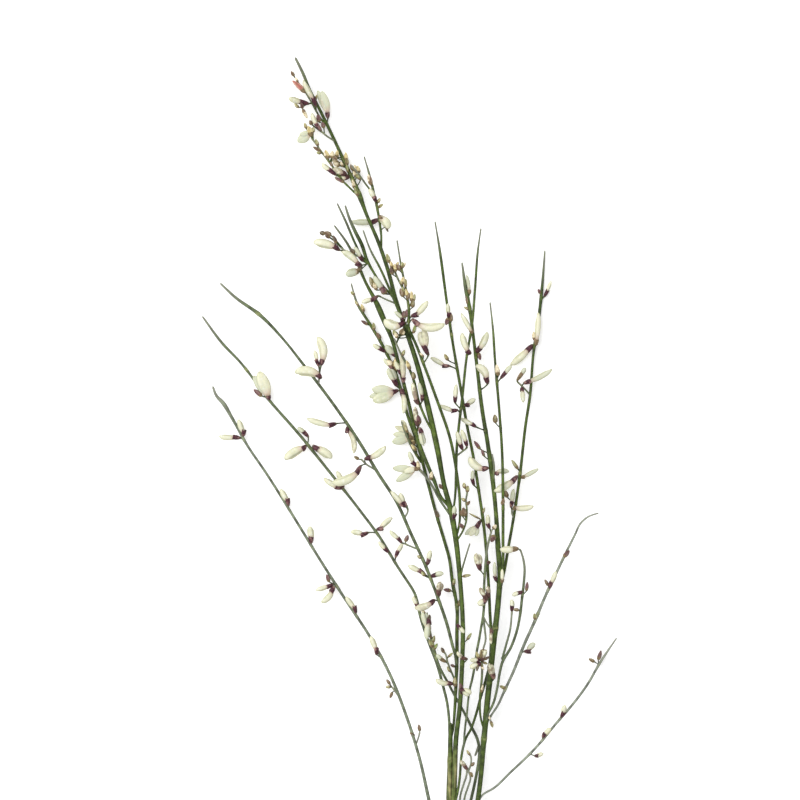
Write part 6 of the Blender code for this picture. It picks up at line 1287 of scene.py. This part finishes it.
# A small kit for node materials. Where a value may be a number, a colour or another node's
# output, feed sets or links it.
class Recipe:
    def __init__(self, name):
        self.material = bpy.data.materials.new(name)
        self.material.use_nodes = True
        self.tree = self.material.node_tree
        self.shader = self.tree.nodes["Principled BSDF"]
        self.place = self.add("TexCoord").outputs["Object"]

    def add(self, kind):
        return self.tree.nodes.new("ShaderNode" + kind)

    def link(self, source, target):
        self.tree.links.new(source, target)

    def feed(self, source, socket):
        if isinstance(source, tuple):
            socket.default_value = (*source, 1.0)
        elif isinstance(source, (int, float)):
            socket.default_value = source
        else:
            self.link(source, socket)

    def value(self, label):
        node = self.add("Attribute")
        node.attribute_name = label
        return node.outputs["Fac"]

    def noise(self, scale, detail=3.0, stretch=(1.0, 1.0, 1.0)):
        node = self.add("TexNoise")
        node.inputs["Scale"].default_value = scale
        node.inputs["Detail"].default_value = detail
        turned = self.add("VectorMath")
        turned.operation = "MULTIPLY"
        turned.inputs[1].default_value = stretch
        self.link(self.place, turned.inputs[0])
        self.link(turned.outputs[0], node.inputs["Vector"])
        return node.outputs["Fac"]

    def upTheSpray(self):
        node = self.add("SeparateXYZ")
        self.link(self.place, node.inputs[0])
        return node.outputs["Y"]

    def ramp(self, source, stops):
        node = self.add("ValToRGB")
        band = node.color_ramp
        while len(band.elements) < len(stops):
            band.elements.new(0.5)
        for element, (position, colour) in zip(band.elements, stops):
            element.position = position
            element.color = (*colour, 1.0)
        self.link(source, node.inputs["Fac"])
        return node.outputs["Color"]

    def mix(self, first, second, share, blend="MIX"):
        node = self.add("Mix")
        node.data_type = "RGBA"
        node.blend_type = blend
        for source, target in ((share, "Factor"), (first, "A"), (second, "B")):
            self.feed(source, [s for s in node.inputs if s.name == target and s.enabled][0])
        return [s for s in node.outputs if s.enabled][0]

    def sum(self, first, second, action="ADD"):
        node = self.add("Math")
        node.operation = action
        self.feed(first, node.inputs[0])
        self.feed(second, node.inputs[1])
        return node.outputs[0]

    def product(self, first, second):
        return self.sum(first, second, "MULTIPLY")

    def range(self, source, low, high, bottom=0.0, top=1.0):
        node = self.add("MapRange")
        self.link(source, node.inputs["Value"])
        for label, number in (("From Min", low), ("From Max", high),
                              ("To Min", bottom), ("To Max", top)):
            node.inputs[label].default_value = number
        return node.outputs["Result"]

    # Gives the shader its colour, roughness, gloss and bump, as a strength and a depth
    # in metres
    def finish(self, colour, look, roughness, height):
        strength, depth = look["bump"]
        self.feed(colour, self.shader.inputs["Base Color"])
        self.feed(roughness, self.shader.inputs["Roughness"])
        self.shader.inputs["Specular IOR Level"].default_value = look["gloss"]
        node = self.add("Bump")
        node.inputs["Strength"].default_value = strength
        node.inputs["Distance"].default_value = depth
        self.link(height, node.inputs["Height"])
        self.link(node.outputs["Normal"], self.shader.inputs["Normal"])
        return self.material


# In these dictionaries a noise is its scale per metre and its detail, and a band is the low
# and the high end of what is read, then what it gives at each. Bump is a strength and a
# depth in metres.
greenLook = {
    "lit": (0.1, 0.152, 0.024), "shade": (0.024, 0.052, 0.006),
    "broad": (45.0, 2.0), "shading": (0.3, 0.7, 0.25, 0.95),
    "grey": (0.28, 0.31, 0.24),
    "wood": (0.4, 0.37, 0.16), "woodReach": (-0.101, -0.112),      # metres up the spray
    "streaks": (800.0, 2.0, (1.0, 0.05, 1.0)),                     # drawn out up the spray
    "streakBand": (0.46, 0.58, 0.12, 0.9),
    "patches": (420.0, 3.0), "patchBand": (0.35, 0.65, 0.4, 1.1),
    # ridges, with painted shade underneath and painted light on top
    "ridgeAndTopShadeBand": (0.15, 0.98, 0.2, 1.3),
    "tip": (0.3, 0.3, 0.24), "tipShare": 0.6,
    "mottle": (900.0, 4.0), "mottleBand": (0.35, 0.7, 0.2, 1.0),
    "scar": (0.4, 0.42, 0.16), "scarBand": (0.3, 1.5, 0.0, 0.62),
    "speck": (0.3, 0.27, 0.16), "specks": (2600.0, 2.0), "speckBand": (0.62, 0.72, 0.0, 0.35),
    "cut": (0.7, 0.66, 0.46),
    "roughness": (0.3, 0.7, 0.4, 0.62), "gloss": 0.25, "bump": (0.35, 0.00012),
}


# Twig: shade to lit green by broad noise, greyed by its share, darker between its ridges,
# and darker underneath than on top as painted shade and light from above, paler at its tip
# and on its scars, with specks. An aged one turns to wood in streaks near its foot. A bare
# cut is pale.
def greenTwig(name, look, grey, aged=False):
    r = Recipe(name)
    mottle = r.noise(*look["mottle"])
    broad = r.noise(*look["broad"])
    base = r.mix(look["shade"], look["lit"], r.range(broad, *look["shading"]))
    base = r.mix(base, look["grey"], grey)
    if aged:
        streak = r.range(r.noise(*look["streaks"]), *look["streakBand"])
        old = r.range(r.upTheSpray(), *look["woodReach"])
        base = r.mix(base, look["wood"], r.product(streak, old))
    patch = r.range(r.noise(*look["patches"]), *look["patchBand"])
    # Painted shade and light: the "ridge" value darkens the underside and brightens the top, along
    # with the ridges and random patches
    stripesAndPaintedShade = r.product(r.range(r.value("ridge"), *look["ridgeAndTopShadeBand"]), patch)
    base = r.mix(base, stripesAndPaintedShade, 1.0, "MULTIPLY")
    reach = twigLook["tipReach"] / alongScale
    young = r.range(r.value("along"), reach, 0.0, 0.0, look["tipShare"])
    base = r.mix(base, look["tip"], young)
    scar = r.product(r.value("scar"), r.range(mottle, *look["mottleBand"]))
    base = r.mix(base, look["scar"], r.range(scar, *look["scarBand"]))
    base = r.mix(base, look["speck"], r.range(r.noise(*look["specks"]), *look["speckBand"]))
    base = r.mix(base, look["cut"], r.value("age"))
    return r.finish(base, look, r.range(mottle, *look["roughness"]),
                    r.sum(mottle, r.value("ridge")))


calyxColours = {
    "dark": (0.026, 0.005, 0.012), "lit": (0.115, 0.034, 0.044),
    "grain": (1400.0, 4.0), "shading": (0.38, 0.64),
    "blotch": (0.42, 0.25, 0.21), "blotches": (620.0, 2.0), "blotchBand": (0.5, 0.6),
    "blotchShare": (0.25, 1.0, 0.0, 0.8),
    "olive": (0.26, 0.2, 0.09), "oliveBand": (0.3, 0.7, 0.35, 1.0),
    "base": (0.12, 0.11, 0.05), "baseBand": (0.0, 0.25, 0.3, 1.0),
    "roughness": 0.5, "gloss": 0.3, "bump": (0.4, 0.0001),
}


# Calyx: dark and lit maroon by noise, pale pinkish blotches on some by "tint", partly their
# own pink and partly painted highlights, olive where "age" says so, brownish green at its foot
def calyxSkin(name, look):
    r = Recipe(name)
    grain = r.noise(*look["grain"])
    tone = r.mix(look["dark"], look["lit"], r.range(grain, *look["shading"]))
    # Pale blotches: partly the calyx's own pink, partly painted highlights
    blotch = r.range(r.noise(*look["blotches"]), *look["blotchBand"])
    share = r.range(r.value("tint"), *look["blotchShare"])
    tone = r.mix(tone, look["blotch"], r.product(blotch, share))
    young = r.range(grain, *look["oliveBand"])
    tone = r.mix(tone, look["olive"], r.product(r.value("age"), young))
    tone = r.mix(look["base"], tone, r.range(r.value("along"), *look["baseBand"]))
    return r.finish(tone, look, look["roughness"], grain)


petalColours = {
    "cream": (0.8, 0.78, 0.58),
    "green": (0.54, 0.58, 0.36), "clouds": (420.0, 3.0), "cloudBand": (0.38, 0.72, 0.0, 0.8),
    "white": (0.86, 0.86, 0.76), "whites": (700.0, 2.0), "whiteBand": (0.55, 0.7, 0.0, 0.8),
    "pale": (0.57, 0.6, 0.46),
    "mauve": (0.2, 0.11, 0.075), "blotches": (650.0, 2.0), "blotchBand": (0.4, 0.56),
    "foot": (0.55, 0.36, 0.3), "footBand": (0.1, 0.34, 0.35, 1.0),
    "vein": (0.5, 0.5, 0.32), "veins": (1800.0, 3.0), "veinBand": (0.54, 0.7, 0.0, 0.25),
    # edge is painted shade, laid on by "ridge" where a petal turns from the light
    "edge": (0.36, 0.37, 0.2), "edgeBand": (0.0, 0.95, 0.3, 1.0),
    "glow": 0.15, "glowReach": (0.6, 0.5, 0.3), "glowScale": 0.001,    # light in the petal
    "roughness": 0.5, "gloss": 0.3, "bump": (0.25, 0.00012),
}


# Petal: cream, greener in clouds by "tint", with white patches, duller by "age", mauve
# blotches by "scar", pinkish at its foot, fine veins, and painted shade by "ridge": a darker
# edge where it turns from the light
def petalSkin(name, look):
    r = Recipe(name)
    fine = r.noise(*look["veins"])
    cloud = r.range(r.noise(*look["clouds"]), *look["cloudBand"])
    tone = r.mix(look["cream"], look["green"], r.product(cloud, r.value("tint")))
    tone = r.mix(tone, look["white"], r.range(r.noise(*look["whites"]), *look["whiteBand"]))
    tone = r.mix(tone, look["pale"], r.value("age"))
    blotch = r.range(r.noise(*look["blotches"]), *look["blotchBand"])
    tone = r.mix(tone, look["mauve"], r.product(blotch, r.value("scar")))
    tone = r.mix(look["foot"], tone, r.range(r.value("along"), *look["footBand"]))
    tone = r.mix(tone, look["vein"], r.range(fine, *look["veinBand"]))
    # Painted shade: the darker edge colour where the petal turns away from the light
    tone = r.mix(look["edge"], tone, r.range(r.value("ridge"), *look["edgeBand"]))
    r.shader.inputs["Subsurface Weight"].default_value = look["glow"]
    r.shader.inputs["Subsurface Radius"].default_value = look["glowReach"]
    r.shader.inputs["Subsurface Scale"].default_value = look["glowScale"]
    return r.finish(tone, look, look["roughness"], fine)


budColours = {
    "tones": (                            # each with its place on the ramp
        (0.04, (0.17, 0.075, 0.08)),      # mauve
        (0.15, (0.08, 0.06, 0.035)),      # dark
        (0.26, (0.19, 0.11, 0.06)),       # brown
        (0.37, (0.24, 0.32, 0.08)),       # leaf green
        (0.48, (0.32, 0.3, 0.13)),        # olive
        (0.62, (0.66, 0.54, 0.24)),       # golden
        (0.8, (0.82, 0.72, 0.52)),        # cream
        (0.96, (0.46, 0.13, 0.12))),      # pink
    "light": (0.86, 0.82, 0.6), "lightBand": (0.72, 0.98, 0.0, 0.4),
    "lightTones": (0.1, 0.5, 0.3, 1.0),
    "dark": (0.05, 0.022, 0.014), "tan": (0.2, 0.125, 0.04), "tanTones": (0.3, 0.6),
    "grain": (1300.0, 3.0), "fleckBand": (0.53, 0.66, 0.0, 0.7),
    "edgeBand": (0.08, 0.5, 0.2, 1.0),
    "roughness": 0.45, "gloss": 0.3, "bump": (0.35, 0.0001),
}


# Young bud: the tone picked by "tint", darker between its folded leaves and in flecks where
# the noise is high, with a paler line on each leaf. The darker colour is dark on the dark
# tones and tan on the light ones.
def budSkin(name, look):
    r = Recipe(name)
    grain = r.noise(*look["grain"])
    tone = r.ramp(r.value("tint"), look["tones"])
    light = r.product(r.range(r.value("ridge"), *look["lightBand"]),
                      r.range(r.value("tint"), *look["lightTones"]))
    tone = r.mix(tone, look["light"], light)
    edge = r.mix(look["dark"], look["tan"], r.range(r.value("tint"), *look["tanTones"]))
    tone = r.mix(tone, edge, r.range(grain, *look["fleckBand"]))
    tone = r.mix(edge, tone, r.range(r.value("ridge"), *look["edgeBand"]))
    return r.finish(tone, look, look["roughness"], grain)


calyxStuff = calyxSkin("maroonCalyx", calyxColours)
petalStuff = petalSkin("creamPetal", petalColours)
budStuff = budSkin("youngBud", budColours)
greens = {share: greenTwig(name, greenLook, share)
          for name, share in (("freshGreenTwig", 0.0), ("dullGreenTwig", 0.3),
                              ("greyGreenTwig", 0.6), ("paleGreyTwig", 0.95))}
agedStuff = greenTwig("agedGreenTwig", greenLook, 0.0, True)
greyness = {"twig_left_1": 0.6, "twig_left_2": 0.3, "twig_left_3": 0.3, "twig_left_low": 0.3,
            "twig_right_7": 0.95, "twig_right_8": 0.95, "twig_low_2": 0.6, "twig_mid_8": 0.3,
            "twig_right_3": 0.3, "twig_right_6": 0.3}
print("materials made")

total = 0
for node, lines in twigLines.items():
    growths = [[] for line in lines]
    marks = [[] for line in lines]
    parts = []
    for table, makeParts in ((flowers, flowerParts), (openFlowers, openParts),
                             (buds, budParts)):
        for entry in table.get(node, []):
            grown, number, reach = makeParts(node, entry)
            parts += grown
            growths[number].append(reach)
    for x, y in twigScars.get(node, []):
        number, reach, host = hostPoint(node, x, y, 0.0)
        marks[number].append(reach)
    for number, line in enumerate(lines):
        foot = None
        slant = 0.0
        if number == 0 and node == "stem_main":
            slant = twigLook["slant"]
        elif number == 0:
            foot = parentPoint(node, np.array(line[-1]))
        parts.append(twigPart(line, growths[number], foot, marks[number], slant))
    green = greens[greyness.get(node, 0.0)] if node != "stem_main" else agedStuff
    piece, triangles = nodePiece("fine_" + node, parts,
                                 [green, calyxStuff, petalStuff, budStuff])
    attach(piece, "root")
    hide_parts(node)
    total += triangles
    print(node, triangles, "triangles")
print("spray made,", total, "triangles")

tableLook = {"size": 6.0, "colour": (0.93, 0.93, 0.93), "roughness": 0.6, "glow": 0.32}
plainWhite = (1.0, 1.0, 1.0, 1.0)


# The table: one flat square at height 0 that glows a little
def plainTable(look):
    half = look["size"] / 2
    mesh = bpy.data.meshes.new("table")
    mesh.from_pydata([(-half, -half, 0), (half, -half, 0), (half, half, 0), (-half, half, 0)],
                     [], [(0, 1, 2, 3)])
    table = bpy.data.objects.new("table", mesh)
    bpy.context.scene.collection.objects.link(table)
    r = Recipe("paleTable")
    r.feed(look["colour"], r.shader.inputs["Base Color"])
    r.feed(look["roughness"], r.shader.inputs["Roughness"])
    r.shader.inputs["Emission Color"].default_value = plainWhite
    r.shader.inputs["Emission Strength"].default_value = look["glow"]
    mesh.materials.append(r.material)


plainTable(tableLook)

cameraLook = {
    "lens": 800.0, "sensor": 36.0,    # mm, a long lens sees the spray nearly flat
    "view": 0.32,                     # metres across the picture
    "x": -0.0038, "y": 0.0364, "level": 0.008,
}


# The camera looks straight down from where a square of side view fills its picture
def overheadCamera(look):
    data = bpy.data.cameras.new("overhead")
    data.lens = look["lens"]
    data.sensor_width = look["sensor"]
    camera = bpy.data.objects.new("overhead", data)
    distance = look["view"] * look["lens"] / look["sensor"]
    camera.location = (look["x"], look["y"], look["level"] + distance)
    bpy.context.scene.collection.objects.link(camera)
    bpy.context.scene.camera = camera


overheadCamera(cameraLook)

lightLook = {"sky": 0.72, "key": 190.0, "keySize": 5.0, "keyPlace": (-2.4, 1.7, 3.4)}


# An even white sky, and one large square lamp that is turned to face the origin
def softLight(look):
    world = bpy.data.worlds.new("softRoom")
    bpy.context.scene.world = world
    world.use_nodes = True
    room = world.node_tree.nodes["Background"]
    room.inputs["Color"].default_value = plainWhite
    room.inputs["Strength"].default_value = look["sky"]
    data = bpy.data.lights.new("key", "AREA")
    data.energy = look["key"]
    data.size = look["keySize"]
    key = bpy.data.objects.new("key", data)
    key.location = look["keyPlace"]
    away = np.array(look["keyPlace"])
    key.rotation_euler = (math.acos(away[2] / np.linalg.norm(away)), 0.0,
                          math.atan2(away[1], away[0]) + math.pi / 2)
    bpy.context.scene.collection.objects.link(key)


softLight(lightLook)
bpy.context.scene.view_settings.view_transform = "Standard"
print("table, camera and light made")
